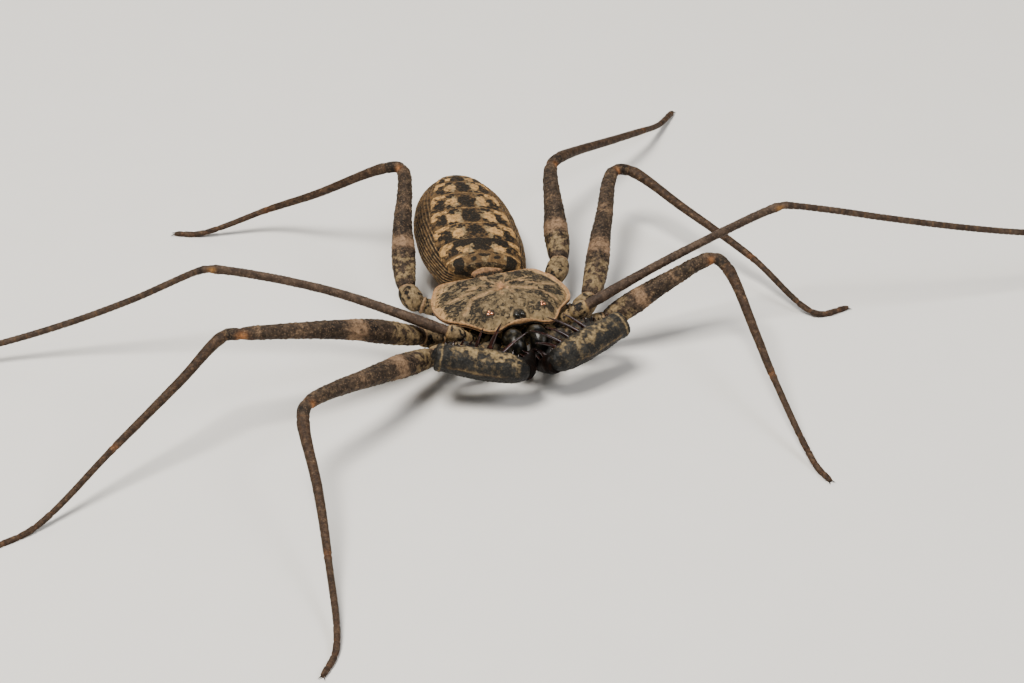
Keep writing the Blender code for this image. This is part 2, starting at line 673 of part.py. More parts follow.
def row_spine(centre, row, radius, length, side):
    """One spine of a row: beside a limb's centre line, in the row's direction."""
    place, direction = row
    return spine(centre + place * radius, mirrored(direction, side), length)


def make_palp_tibia(bar, knob, side):
    """A pedipalp's broad tibia, with its elbow knob and two rows of long spines fused to it."""
    tibia = tube("tibia", bar, -TIBIA_PAST_ELBOW, bar.length + TIBIA_PAST_WRIST, PALP_TIBIA_SECTIONS,
                 size=PALP_TIBIA_RADIUS, sides=14, depth=0.95)
    pieces = [tube("knob", knob, 0.0, knob.length, KNOB_SECTIONS, sides=10)]
    for share, length in TIBIA_SPINES:
        centre = bar.at(share * bar.length)
        pieces.append(row_spine(centre, UPPER_ROW, PALP_TIBIA_RADIUS, length, side))
        if share > LOWER_SPINES_FROM:
            shorter = length * LOWER_SPINE_SHARE
            pieces.append(row_spine(centre, LOWER_ROW, PALP_TIBIA_RADIUS, shorter, side))
    return fuse(tibia, pieces)


def make_palp_femur(route, side):
    """A pedipalp's femur, with a row of spines fused along its top."""
    femur = tube("femur", route, PALP_HIP_RADIUS + JOINT_GAP, route.length, PALP_FEMUR_SECTIONS,
                 size=PALP_FEMUR_RADIUS, sides=12)
    pieces = []
    for share, length in FEMUR_SPINES:
        centre = route.at(share * route.length)
        pieces.append(row_spine(centre, FEMUR_ROW, PALP_FEMUR_RADIUS, length, side))
    return fuse(femur, pieces)


def make_palp(side):
    """The pieces of one pedipalp: hip, femur, spined tibia, hand and claw."""
    pose = PALP[side]
    hip = mirrored(PALP_HIP, side)
    elbow = pose["elbow"]
    wrist = pose["wrist"]
    bar = Route([elbow, (elbow + wrist) / 2, wrist])
    backward = mirrored(Vector((-0.2, 1.0, 0.0)), side).normalized()
    knob = Route([elbow, elbow + backward * ELBOW_KNOB + Vector((0.0, 0.0, -ELBOW_DROP))])
    elbow_end = knob.at(knob.length + JOINT_GAP)
    bend = elbow_end + backward * 0.4 + mirrored(ELBOW_BEND, side)
    upper = Route([hip, (hip + bend) / 2 + PALP_FEMUR_BOW, bend, elbow_end])
    inner = (mirrored(PALP_ROOT, side) - hip).normalized() * PALP_HIP_RADIUS
    outer = upper.along(PALP_HIP_RADIUS) * PALP_HIP_RADIUS
    hip_route = Route([hip + inner, hip, hip + outer])
    hand = Route([wrist + (pose["hand"][0] - wrist) * 0.5, *pose["hand"]])
    hand_start = (pose["hand"][0] - wrist).length * 0.45
    claw = Route([pose["hand"][1], *pose["claw"]])
    return {
        "trochanter": tube("trochanter", hip_route, 0.0, hip_route.length, PALP_HIP_SECTIONS,
                           size=PALP_HIP_RADIUS, sides=10),
        "femur": make_palp_femur(upper, side),
        "tibia": make_palp_tibia(bar, knob, side),
        "hand": tube("hand", hand, hand_start, hand.length, PALP_HAND_SECTIONS,
                     size=PALP_HAND_RADIUS, sides=10),
        "claw": tube("claw", claw, JOINT_GAP, claw.length, PALP_CLAW_SECTIONS, size=PALP_CLAW_RADIUS),
    }


def main():
    """Builds every node of the animal."""
    clear_scene()
    materials = make_materials()
    parts = bpy.data.collections.new("whip_spider")
    bpy.context.scene.collection.children.link(parts)
    finish(make_carapace(), "carapace", materials["carapace"], parts)
    finish(make_eyes("eyes_median", MEDIAN_EYES, *MEDIAN_EYE_SIZE), "eyes_median", materials["eye"], parts)
    for side, sign in (("left", 1.0), ("right", -1.0)):
        place = Vector((sign * LATERAL_EYES.x, LATERAL_EYES.y))
        name = f"eyes_lateral_{side}"
        finish(make_eyes(name, place, *LATERAL_EYE_SIZE), name, materials["eye"], parts)
        finish(make_chelicera(side), f"chelicera_{side}", materials["chelicera"], parts)
    finish(make_underside(), "underside", materials["underside"], parts)
    finish(make_pedicel(), "pedicel", materials["underside"], parts)
    finish(make_abdomen(), "abdomen", materials["abdomen"], parts)
    for side in ("left", "right"):
        for piece_name, piece in make_palp(side).items():
            finish(piece, f"palp_{side}_{piece_name}", materials["palp"], parts)
        for piece_name, piece in make_feeler(side).items():
            finish(piece, f"leg_1_{side}_{piece_name}", materials["shin"], parts)
        for number in (2, 3, 4):
            for piece_name, piece in make_walking_leg(number, side).items():
                kind = "leg" if piece_name in ("trochanter", "femur") else "shin"
                finish(piece, f"leg_{number}_{side}_{piece_name}", materials[kind], parts)


main()
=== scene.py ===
"""Looks of the whip spider: fine shell meshes with procedural materials around the fixed frame.

Sizes and places are in millimetres in the animal's own frame, whose origin is on the floor under
the middle of the carapace: the animal faces -Y, its left side is +X and up is +Z.  BODY_AT moves
that frame to the world's, and every mesh is turned to metres when it is made.
"""

import math

import bpy
import numpy as np
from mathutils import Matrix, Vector


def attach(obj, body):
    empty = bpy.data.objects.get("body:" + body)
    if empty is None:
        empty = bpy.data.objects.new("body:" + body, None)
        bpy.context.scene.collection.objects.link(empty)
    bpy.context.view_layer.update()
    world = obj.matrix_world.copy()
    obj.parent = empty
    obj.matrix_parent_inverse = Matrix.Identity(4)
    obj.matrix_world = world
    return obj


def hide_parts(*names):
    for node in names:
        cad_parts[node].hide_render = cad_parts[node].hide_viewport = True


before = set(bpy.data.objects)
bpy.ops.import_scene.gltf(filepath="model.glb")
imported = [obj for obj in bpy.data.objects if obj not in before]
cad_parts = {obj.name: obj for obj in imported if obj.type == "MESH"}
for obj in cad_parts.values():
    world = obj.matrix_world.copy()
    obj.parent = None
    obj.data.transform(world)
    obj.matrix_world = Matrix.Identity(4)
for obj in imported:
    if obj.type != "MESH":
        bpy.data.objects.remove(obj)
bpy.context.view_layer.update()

MM = 0.001
BODY_AT = np.array((-1.3, 3.2, 0.0))

# Camera: from the animal's front right, well above the floor
CAMERA_AZIMUTH = math.radians(-20.0)
CAMERA_ELEVATION = math.radians(33.0)
CAMERA_DISTANCE = 315.0
CAMERA_TARGET = np.array((0.65, 0.2, 0.0))
CAMERA_LENS = 140.625
CAMERA_SENSOR = 36.0

# Carapace
CARAPACE_OUTLINE = (
    (0.0, -3.42), (0.95, -3.34), (2.15, -3.78), (2.8, -3.55), (3.3, -2.92), (3.85, -2.1), (4.5, -1.45),
    (5.25, -0.65), (5.6, 0.7), (5.35, 2.2), (4.9, 3.1), (4.3, 3.9), (3.75, 4.12), (2.9, 4.1), (1.5, 3.97),
    (0.0, 3.87),
)
CARAPACE_CENTRE = np.array((0.0, 0.6))
CARAPACE_HALF_WIDTH = 5.65
RIM_HEIGHT = 4.0
# Rows of the rim's outer face, from the top: share of the way out, drop, pale mark and dark mark
RIM_ROWS = (
    (1.0, 0.05, 0.6, 0.0), (0.997, 0.09, 0.0, 1.0), (0.997, 0.14, 0.1, 0.9), (1.0, 0.18, 0.55, 0.1),
    (0.998, 0.23, 0.3, 0.5), (0.985, 0.29, 0.0, 1.0), (0.95, 0.35, 0.0, 1.0), (0.6, 0.35, 0.1, 0.6),
)
SIDE_DROOP = 0.42
FRONT_ARCH = 0.05
DOME = 1.15
FURROW_DEPTH = 0.13
FOVEA_DEPTH = 0.3
MIDDLE_MOUND = 0.42
SIDE_MOUND = 0.2
CARAPACE_COLUMNS = 760
COLUMNS_PER_DENTICLE = 9.0
LENS_FLATNESS = 0.8
PROSOMA_ROLL = math.radians(2.0)
PROSOMA_TURN = math.radians(2.0)
FOVEA_PLACE = np.array((0.0, 0.9))
FURROW_ANGLES = (-8.0, 28.0, 58.0, 90.0)
MEDIAN_EYES = np.array((0.0, -2.95))
LATERAL_EYES = np.array((2.2, -2.3))
# Markings of the shield's left half, mirrored on the right: middle and radii of each patch
DARK_PATCHES = (
    (3.7, 2.2, 1.3, 0.75), (4.2, 0.1, 1.2, 0.65), (3.0, -0.5, 0.6, 0.45), (1.5, 1.25, 0.9, 0.25),
    (0.0, 1.95, 0.5, 0.5), (1.7, 2.8, 0.5, 0.8), (1.0, -0.3, 0.3, 0.25), (1.8, -0.4, 0.28, 0.28),
    (2.8, -1.7, 0.4, 0.8), (1.8, -2.5, 1.2, 0.22), (3.0, 3.0, 0.5, 0.25),
)
TAN_PATCHES = (
    (2.1, 1.6, 0.5, 0.2), (3.6, 3.3, 0.9, 0.3), (0.9, 2.7, 0.25, 0.55), (0.4, -0.3, 0.2, 0.35),
    (0.0, 1.2, 0.2, 0.35),
)
HEAD_PATCH = (0.0, -1.5, 2.5, 1.7)
# Furrows with tan lines: places along each, and its half width
TAN_LINES = (
    (((0.0, 0.8), (1.2, 0.68), (2.7, 0.38), (3.2, -0.4), (3.8, -1.05)), 0.17),
    (((0.3, 1.0), (1.4, 1.55), (2.7, 2.2)), 0.07),
    (((2.3, 1.15), (3.4, 1.0), (4.5, 1.05)), 0.15),
    (((0.2, 1.1), (0.8, 2.0), (1.2, 3.2)), 0.06),
)

# Abdomen
ABDOMEN_FRONT = np.array((-0.05, 4.55, 2.95))
ABDOMEN_LENGTH = 16.75
ABDOMEN_HALF_WIDTH = 4.18
ABDOMEN_BOW = -0.25
ABDOMEN_TOP = 2.55
ABDOMEN_BOTTOM = 1.9
ABDOMEN_TURN = math.radians(-10.8)
ABDOMEN_DROOP = math.radians(-3.0)
ABDOMEN_ROLL = math.radians(4.0)
ABDOMEN_BEVEL = 0.05
ABDOMEN_ROUNDING = 0.88
ABDOMEN_GRID = (460, 380)
TERGITE_ENDS = (0.045, 0.175, 0.32, 0.47, 0.637, 0.79, 0.88, 0.94, 0.978)
TERGITE_STEP = 0.16
FLANK_FOLD = 5.6
# Dark spots at the front end: distance from the middle line, place along the abdomen and radii
BIG_SPOT = (2.0, 0.42, 0.42, 0.55)
SMALL_SPOTS = ((0.85, 0.5, 0.3, 0.16), (0.0, 0.72, 0.3, 0.16), (0.72, 1.05, 0.3, 0.16))
# Patches of each tergite, by shares of its half width and of its length: middle and radii
TERGITE_SPOTS = ((0.0, 0.45, 0.25, 0.4), (0.47, 0.07, 0.13, 0.12), (0.43, 0.84, 0.19, 0.09))
SIDE_SPOT = (0.75, 0.38, 0.15, 0.31)
SIDE_SPOT_EYE = (0.8, 0.5, 0.04, 0.09)
TERGITE_CORNER = ((0.95, 0.68, 0.1, 0.24), (0.8, 0.86, 0.22, 0.12))
TERGITE_SALMON = (0.46, 0.46, 0.165, 0.27)
SALMON_FRINGE = (0.46, 0.46, 0.24, 0.42)
FIRST_TERGITE = np.array((0.05, 4.44, 4.08))
FIRST_TERGITE_RADII = np.array((1.3, 0.44, 0.13))
FIRST_TERGITE_SLOPE = math.radians(50.0)

# Legs
HIPS = {1: (5.05, -2.8, 3.76), 2: (6.5, -2.93, 2.28), 3: (6.4, -0.4, 2.38), 4: (6.1, 4.7, 2.8)}
COXA_ROOTS = {1: (2.2, -1.6, 2.2), 2: (2.4, -0.9, 2.0), 3: (2.6, 0.6, 2.0), 4: (2.3, 2.2, 2.1)}
COXA_SAG = 0.34
HIP_GAP = 0.15
# Sections round a hip: share of its radius and distance along from its middle, and share of its radius
HIP_SECTIONS = (
    (-1.0, -0.6, 0.72), (-1.0, -0.35, 0.7), (-1.0, -0.28, 0.62), (-1.0, -0.18, 0.8), (-1.0, -0.02, 0.78),
    (-1.0, 0.05, 0.6), (-0.62, 0.0, 0.92), (0.0, 0.0, 1.0), (0.62, 0.0, 0.94), (1.0, 0.0, 0.8),
    (1.0, 0.09, 0.7),
)
TROCHANTER_RADIUS = {1: 0.66, 2: 0.86, 3: 0.95, 4: 0.93}
# Points of each leg past its hip: middle of the femur, knee, top and middle of the shin, ankle, foot, toe
STANCE = {
    "2_right": (
        (-13.2, -7.6, 4.8), (-19.8, -11.6, 6.2), (-20.6, -13.1, 6.0), (-21.5, -19.3, 4.1),
        (-22.6, -25.0, 2.2), (-24.7, -33.3, 0.3), (-26.5, -35.8, 0.16),
    ),
    "2_left": (
        (12.0, -3.6, 5.3), (15.8, -4.1, 7.0), (16.4, -5.4, 6.8), (16.3, -11.8, 4.4),
        (16.1, -15.5, 3.1), (16.1, -24.1, 0.3), (16.4, -26.1, 0.16),
    ),
    "3_right": (
        (-13.2, -2.5, 5.8), (-22.4, -3.4, 8.0), (-23.6, -3.1, 7.9), (-27.8, -5.2, 6.0),
        (-33.8, -8.1, 3.3), (-41.1, -11.9, 0.3), (-44.8, -13.1, 0.16),
    ),
    "3_left": (
        (11.1, 7.6, 4.4), (14.6, 13.9, 5.2), (15.7, 13.5, 5.2), (18.4, 8.4, 4.0),
        (21.7, 1.8, 2.4), (24.6, -4.6, 0.3), (27.4, -4.5, 0.16),
    ),
    "4_right": (
        (-5.2, 9.5, 5.4), (-3.2, 15.6, 8.0), (-4.2, 16.5, 7.8), (-9.2, 20.1, 4.3),
        (-12.5, 22.5, 2.2), (-17.9, 23.8, 0.3), (-19.9, 24.7, 0.16),
    ),
    "4_left": (
        (7.6, 9.2, 4.5), (9.7, 15.7, 5.6), (10.7, 16.7, 5.6), (17.7, 21.7, 3.3),
        (21.1, 24.3, 2.0), (23.7, 26.8, 0.75), (26.0, 29.4, 0.16),
    ),
}
KNEE, SHIN_TOP, ANKLE = 1, 2, 4
# Place of the wide pale band along a femur, as on most legs and where it differs
USUAL_BAND_PLACE = 0.33
BAND_PLACES = {"3_right": 0.42, "4_left": 0.27}
FEMUR_RADIUS = 0.98
SHIN_RADIUS = 0.42
# Sections of a limb: share of its length and of its radius, or distance and radius near a joint
FEMUR_SECTIONS = (
    (0.0, 0.74), (0.05, 0.86), (0.16, 0.97), (0.28, 1.0), (0.45, 0.84), (0.65, 0.7), (0.85, 0.6),
    (0.96, 0.56), (1.0, 0.46),
)
KNEE_SECTIONS = ((0.06, 0.42), (0.25, 0.5))
PATELLA_SECTIONS = ((-0.2, 0.49), (0.0, 0.44))
SHIN_SECTIONS = ((0.03, 1.2), (0.1, 1.08), (0.25, 0.95), (0.5, 0.88), (0.75, 0.8), (0.98, 0.74))
ANKLE_SECTIONS = ((0.0, 0.26), (0.15, 0.31), (0.6, 0.27))
FOOT_JOINT_SECTIONS = ((-0.12, 0.25), (0.0, 0.19), (0.12, 0.26))
TOE_SECTIONS = ((-0.25, 0.22), (0.0, 0.14))
TARSUS_JOINTS = (0.55, 0.68, 0.8, 0.91)

# Feeler legs
FEELER_FEMUR = {
    "right": ((-13.6, 3.4, 6.0), (-21.9, 6.9, 7.6)),
    "left": ((13.3, -2.3, 6.7), (22.1, -2.7, 9.7)),
}
FEELER_SECTIONS = (
    (0.0, 0.4), (0.06, 0.43), (0.3, 0.37), (0.6, 0.33), (0.93, 0.33), (0.97, 0.37), (1.0, 0.27),
)
FEELER_KNEE_SECTIONS = ((0.12, 0.28), (0.4, 0.31))
WHIP = {
    "right": (
        (-22.7, 7.2, 7.4), (-27.7, 8.8, 4.9), (-33.2, 10.3, 2.8), (-39.0, 11.3, 1.5),
        (-47.0, 11.9, 0.9), (-55.0, 10.9, 0.8), (-63.0, 8.4, 0.9),
    ),
    "left": (
        (22.9, -2.8, 9.6), (26.3, -3.6, 8.9), (30.2, -4.4, 7.9), (36.9, -5.5, 6.2),
        (42.5, -6.1, 4.9), (50.0, -6.3, 3.4), (58.0, -5.2, 2.2), (65.6, -3.0, 1.5),
    ),
}
WHIP_RADIUS = 0.27
WHIP_TIP_RADIUS = 0.1
WHIP_RING = 0.48

# Pedipalps
PALP_ROOT = (1.3, -1.8, 1.7)
PALP_HIP = (2.9, -4.15, 2.5)
# Elbow, wrist, two points of the hand and two of the claw
PALP = {
    "right": (
        (-7.4, -6.3, 4.3), (-1.5, -8.5, 3.1), (-0.75, -7.3, 3.0), (-0.15, -6.3, 3.05),
        (0.3, -6.0, 3.1), (0.95, -6.35, 2.95),
    ),
    "left": (
        (6.95, -6.35, 4.05), (1.1, -8.2, 3.1), (0.75, -6.7, 2.0), (0.2, -5.9, 1.7),
        (-0.3, -5.8, 1.6), (-1.0, -6.1, 1.6),
    ),
}
PALP_HIP_RADIUS = 0.7
PALP_TIBIA_RADIUS = 1.22
PALP_FEMUR_RADIUS = 0.76
PALP_FEMUR_BOW = np.array((0.0, -0.2, 0.1))
PALP_HIP_SECTIONS = ((-0.9, 0.62), (-0.72, 0.5), (-0.3, 0.74), (0.4, 0.74))
PALP_FEMUR_SECTIONS = (
    (0.04, 0.7), (0.12, 0.9), (0.35, 1.0), (0.6, 0.86), (0.8, 0.66), (0.92, 0.56), (0.98, 0.45),
)
ELBOW_KNOB = 1.25
ELBOW_DROP = 0.5
# Sections of the tibia: distance past the elbow, share of the length and distance past the wrist
PALP_ELBOW_SECTIONS = (
    (-0.5, 0.74), (-0.45, 0.84), (-0.3, 0.9), (0.0, 0.91), (0.15, 0.86), (0.5, 0.9), (2.0, 0.99),
)
PALP_TIBIA_SECTIONS = ((0.6, 1.04), (0.8, 0.98), (0.94, 0.82))
PALP_WRIST_SECTIONS = ((0.3, 0.5), (0.4, 0.2))
# How strongly the tan strip along the tibia's top shows
PALP_STRIP = {"right": 1.0, "left": 0.85}
# Long tibial spines: place along the tibia from the elbow, length, radius, direction and bend
TIBIA_SPINES = {
    "right": (
        (0.455, 1.75, 0.15, (0.38, 0.2, 0.92), (0.16, 0.0, -0.02)),
        (0.62, 2.3, 0.26, (0.42, 0.2, 0.9), (0.22, 0.0, -0.06)),
        (0.784, 2.75, 0.17, (0.9, 0.4, 0.4), (0.12, 0.0, -0.3)),
    ),
    "left": (
        (0.46, 2.2, 0.18, (-0.72, 0.34, 0.68), (-0.1, 0.0, -0.2)),
        (0.575, 2.75, 0.19, (-0.78, 0.34, 0.6), (-0.2, 0.0, -0.3)),
        (0.73, 2.0, 0.18, (-0.74, 0.34, 0.64), (-0.2, 0.0, -0.32)),
        (0.86, 2.6, 0.19, (-0.78, 0.34, 0.6), (-0.25, 0.0, -0.45)),
        (0.97, 1.35, 0.17, (-0.85, 0.3, 0.42), (-0.15, 0.0, -0.25)),
    ),
}
# Smaller spines: place along the limb and length
SHORT_SPINES = ((0.2, 0.5), (0.42, 1.0), (0.56, 1.3), (0.66, 0.8), (0.76, 1.5), (0.88, 0.9))
HAND_SPINES = {"right": ((0.45, 0.7), (0.7, 0.6)), "left": ((0.3, 1.0), (0.5, 1.3), (0.75, 1.2))}
FEMUR_SPINES = ((0.3, 0.5), (0.5, 0.6), (0.7, 0.45))

# Jaws and the underside
CHELICERA_POINTS = (
    (0.8, -2.7, 2.55), (0.86, -3.5, 2.75), (0.96, -4.58, 3.46), (0.97, -5.25, 3.28),
    (0.9, -5.52, 2.5), (0.77, -5.35, 1.85),
)
# The jaws' lower ends are kept wide, so that their black also stands in for the other mouthparts and for the
# shade under the body between the jaws and the palps
CHELICERA_SECTIONS = (
    (0.0, 0.45), (0.2, 0.66), (0.42, 0.8), (0.58, 0.79), (0.7, 0.78), (0.82, 0.78), (0.92, 0.64),
    (1.0, 0.1),
)
STERNUM_POINTS = ((0.0, -3.2, 1.55), (0.0, 0.0, 2.1), (0.0, 3.6, 2.3), (0.0, 5.2, 2.6))
STERNUM_SECTIONS = (
    (0.0, 0.5), (0.08, 1.3), (0.22, 2.5), (0.42, 3.3), (0.6, 3.2), (0.72, 1.8), (0.8, 0.9), (0.9, 0.75),
    (1.0, 0.6),
)

# Spines: how deep their roots are sunk, and the radius of their tips
SPIKE_SINK = 0.25
SPIKE_TIP_RADIUS = 0.012
# Curves: half the span that gives a direction, and the spacing and reach of the smoothing
LOOK_AHEAD = 0.12
PROFILE_STEP = 0.02
PROFILE_REACH = 50
# Further than any distance that is looked for
FAR = 99.0

# Marks that each mesh carries, where its shell changes colour, shine or grain
MARKS = ("pale", "warm", "dark", "gloss", "tan", "bare")
# Share by which painted fine shadows darken a shell
FINE_SHADOW_DEPTH = 0.55
# Colours and surfaces of the shells
TAN = (0.25, 0.176, 0.088)
BLACK = (0.006, 0.005, 0.004)
SHELLS = {
    "carapace_shell": dict(
        base=(0.115, 0.082, 0.044), blotches=(0.20, 0.142, 0.074), pale=(0.43, 0.265, 0.12),
        warm=(0.40, 0.13, 0.06), dark=(0.014, 0.012, 0.009), grain_colour=(0.27, 0.19, 0.10),
        grain=0.4, grain_size=0.13, blotch=0.5, edge=1.0, soft=0.36,
    ),
    "abdomen_shell": dict(
        base=(0.085, 0.050, 0.021), blotches=(0.16, 0.092, 0.036), pale=(0.46, 0.262, 0.092),
        warm=(0.30, 0.13, 0.045), dark=(0.007, 0.006, 0.004), grain_colour=(0.15, 0.09, 0.045),
        grain=0.25, grain_size=0.14, blotch=0.4, edge=0.9, soft=0.28,
    ),
    "leg_shell": dict(
        base=(0.028, 0.019, 0.013), blotches=(0.06, 0.040, 0.026), pale=(0.27, 0.166, 0.094),
        warm=(0.32, 0.12, 0.035), dark=BLACK, grain_colour=(0.20, 0.125, 0.072),
        grain=0.5, grain_size=0.2, blotch=0.4, edge=0.9, soft=0.4,
    ),
    "whip_shell": dict(
        base=(0.044, 0.028, 0.019), blotches=(0.082, 0.053, 0.035), pale=(0.40, 0.26, 0.11),
        warm=(0.36, 0.17, 0.04), dark=BLACK, grain_colour=(0.19, 0.12, 0.075),
        grain=0.4, grain_size=0.2, soft=0.3,
    ),
    "palp_shell": dict(
        base=(0.012, 0.0115, 0.0105), blotches=(0.026, 0.024, 0.020), pale=(0.27, 0.19, 0.09),
        warm=(0.30, 0.15, 0.05), dark=(0.004, 0.004, 0.004), grain_colour=(0.06, 0.048, 0.032),
        grain=0.3, grain_size=0.17, rough=(0.42, 0.6), edge=0.75, soft=0.45,
    ),
    "coxa_shell": dict(
        base=(0.15, 0.10, 0.045), blotches=(0.28, 0.19, 0.09), pale=(0.50, 0.36, 0.16),
        warm=(0.42, 0.22, 0.05), dark=BLACK, grain_colour=(0.30, 0.21, 0.11),
        grain=0.3, grain_size=0.2, edge=0.8, soft=0.3,
    ),
}
GLOSSY_SHELLS = {
    "jaw_shell": dict(
        colour=(0.0015, 0.0013, 0.001), tint=(0.022, 0.018, 0.01), rough=0.2, size=0.4, specular=0.22,
    ),
    "hand_shell": dict(
        colour=(0.0035, 0.0025, 0.002), tint=(0.012, 0.005, 0.003), rough=0.35, size=0.5, specular=0.04,
    ),
    "spine_shell": dict(
        colour=(0.012, 0.0035, 0.0025), tint=(0.05, 0.013, 0.008), rough=0.05, size=0.3, coat=0.35,
    ),
    "eye_lens": dict(
        colour=(0.006, 0.006, 0.005), tint=(0.035, 0.03, 0.018), rough=0.2, size=0.2, coat=0.2,
    ),
    # Painted glint: the side eyes' bright coppery colour and tint stand in for the coppery glints on the
    # lenses; metal shine and low roughness also catch the lights
    "side_eye_lens": dict(
        colour=(0.55, 0.20, 0.08), tint=(0.9, 0.5, 0.3), rough=0.03, size=0.3, coat=0.3, metallic=0.8,
    ),
}

# Studio, in metres: each light's name, place, size, power and colour
LIGHTS = (
    ("key", (-0.12, -0.02, 0.34), 0.14, 2.3, (1.0, 0.96, 0.9)),
    ("fill", (0.21, -0.18, 0.27), 0.16, 0.75, (0.98, 0.98, 1.0)),
    ("back", (0.1, 0.4, 0.25), 0.25, 0.45, (1.0, 1.0, 1.0)),
)
SKY_COLOUR = (1.0, 0.99, 0.97)
SKY_STRENGTH = 0.16
FLOOR_COLOURS = ((0.74, 0.72, 0.68), (0.77, 0.75, 0.71))


def step(low, high, value):
    """Rises smoothly from 0 at low to 1 at high."""
    share = np.clip((value - low) / (high - low), 0.0, 1.0)
    return share * share * (3.0 - 2.0 * share)


def bell(value, middle, half_width):
    """A smooth bump that is 1 at its middle."""
    return np.exp(-((value - middle) / half_width) ** 2)


def stack(*parts):
    """Coordinates put together into points."""
    return np.stack(np.broadcast_arrays(*parts), axis=-1)


def away(points, centre, stretch=1.0):
    """Distances of points from a centre, along stretched axes."""
    return np.linalg.norm((points - centre) * stretch, axis=-1)


def patch(points, oval):
    """A soft oval, given by its middle and then its radii: 1 inside and 0 outside."""
    middle, radii = np.split(np.array(oval), 2)
    return step(1.25, 0.75, np.linalg.norm((points - middle) / radii, axis=-1))


def patches(points, ovals):
    """Several soft ovals together."""
    return np.max([patch(points, oval) for oval in ovals], axis=0)


def line_mark(points, line, half_width):
    """A soft line along a chain of points: 1 on it and 0 away from it."""
    line = np.array(line)
    nearest = FAR
    for start, span in zip(line, np.diff(line, axis=0)):
        share = np.clip((points - start) @ span / (span @ span), 0.0, 1.0)
        nearest = np.minimum(nearest, away(points - start, share[..., None] * span))
    return bell(nearest, 0.0, half_width)


def hashed(cells, seed):
    """A repeatable value from 0 to 1 for each whole-number cell."""
    mixed = cells[..., 0] * 73856093 ^ cells[..., 1] * 19349663 ^ cells[..., 2] * 83492791 ^ seed * 668265263
    mixed = (mixed ^ mixed >> 13) * 1274126177 & 0xFFFFFFFF
    return (mixed ^ mixed >> 15 & 0xFFFFFF & mixed >> 3) % 65521 / 65521.0


def noise(points, size, seed, octaves=2):
    """Smooth random values near 0.5, whose lumps are about as wide as the size."""
    total, weight, amount = 0.0, 0.0, 1.0
    for octave in range(octaves):
        scaled = points / size * 2.0 ** octave
        cell = np.floor(scaled).astype(np.int64)
        part = scaled - cell
        part = part * part * (3.0 - 2.0 * part)
        value = 0.0
        for corner in np.ndindex(2, 2, 2):
            share = np.prod(np.where(np.array(corner) == 1, part, 1.0 - part), axis=-1)
            value = value + share * hashed(cell + np.array(corner), seed + octave)
        total = total + value * amount
        weight += amount
        amount *= 0.5
    return total / weight


def grains(points, size, seed):
    """Distance, in grain sizes, to the nearest of one scattered point in each cell."""
    scaled = points / size
    cell = np.floor(scaled).astype(np.int64)
    nearest = FAR
    for offset in np.ndindex(3, 3, 3):
        other = cell + np.array(offset) - 1
        centre = other + np.stack([hashed(other, seed + axis) for axis in range(3)], axis=-1)
        nearest = np.minimum(nearest, away(scaled, centre))
    return nearest


def mirrored(point, side):
    """A left-side point, or its mirror image for the right side."""
    x, y, z = point
    return np.array((x if side == "left" else -x, y, z))


def unit(vector):
    """A vector of length 1 in the same direction."""
    return vector / np.linalg.norm(vector)


def turned(points, axes, angle):
    """Points turned by an angle from the first of two axes towards the second."""
    first, second = points[..., axes[0]], points[..., axes[1]]
    result = np.array(points)
    result[..., axes[0]] = first * math.cos(angle) - second * math.sin(angle)
    result[..., axes[1]] = first * math.sin(angle) + second * math.cos(angle)
    return result


def blend(near, far, start, end, time):
    """Goes evenly from near, at the start time, to far, at the end time."""
    return near * (end - time) / (end - start) + far * (time - start) / (end - start)


class Route:
    """A smooth centripetal Catmull-Rom curve through given points, measured by distance."""

    STEPS = 24

    def __init__(self, points):
        knots = [np.array(point, float) for point in points]
        knots = [knots[0] * 2 - knots[1], *knots, knots[-1] * 2 - knots[-2]]
        shares = np.linspace(0.0, 1.0, self.STEPS + 1)[1:, None]
        places = [knots[1][None]]
        for index in range(1, len(knots) - 2):
            row, times = knots[index - 1:index + 3], [0.0]
            for near, far in zip(row, row[1:]):
                times.append(times[-1] + math.sqrt(np.linalg.norm(far - near)))
            time = times[1] + shares * (times[2] - times[1])
            for gap in (1, 2):
                row = [
                    blend(near, far, times[i], times[i + gap], time)
                    for i, (near, far) in enumerate(zip(row, row[1:]))
                ]
            places.append(blend(*row, times[1], times[2], time))
        self.places = np.concatenate(places)
        steps = np.linalg.norm(np.diff(self.places, axis=0), axis=1)
        self.distances = np.concatenate(([0.0], np.cumsum(steps)))
        self.length = float(self.distances[-1])

    def at(self, distance):
        """Points at distances along the curve, or straight on past its ends."""
        distance = np.asarray(distance, float)
        inside = np.clip(distance, 0.0, self.length)
        points = stack(*(np.interp(inside, self.distances, column) for column in self.places.T))
        first = unit(self.places[1] - self.places[0])
        last = unit(self.places[-1] - self.places[-2])
        points = points + np.minimum(distance, 0.0)[..., None] * first
        return points + np.maximum(distance - self.length, 0.0)[..., None] * last

    def along(self, distance):
        """Directions of the curve at distances along it."""
        ahead = self.at(np.asarray(distance) + LOOK_AHEAD) - self.at(np.asarray(distance) - LOOK_AHEAD)
        return ahead / np.linalg.norm(ahead, axis=-1, keepdims=True)

    def nearest(self, point):
        """The distance along the curve of its place nearest to a point."""
        return float(self.distances[np.argmin(away(self.places, point))])


def frames_along(route, distances, up=(0.0, 0.0, 1.0)):
    """Place, side and upward direction at each distance, turned as little as possible."""
    places, alongs = route.at(distances), route.along(distances)
    up = np.array(up)
    sides, ups = [], []
    for along in alongs:
        side = unit(np.cross(along, up))
        up = unit(np.cross(side, along))
        sides.append(side)
        ups.append(up)
    return places, np.array(sides), np.array(ups)


def scaled(sections, start, length=1.0, size=1.0):
    """Distances and radii of sections given in millimetres, or by shares of a length and a size."""
    return [(start + share * length, size * scale) for share, scale in sections]


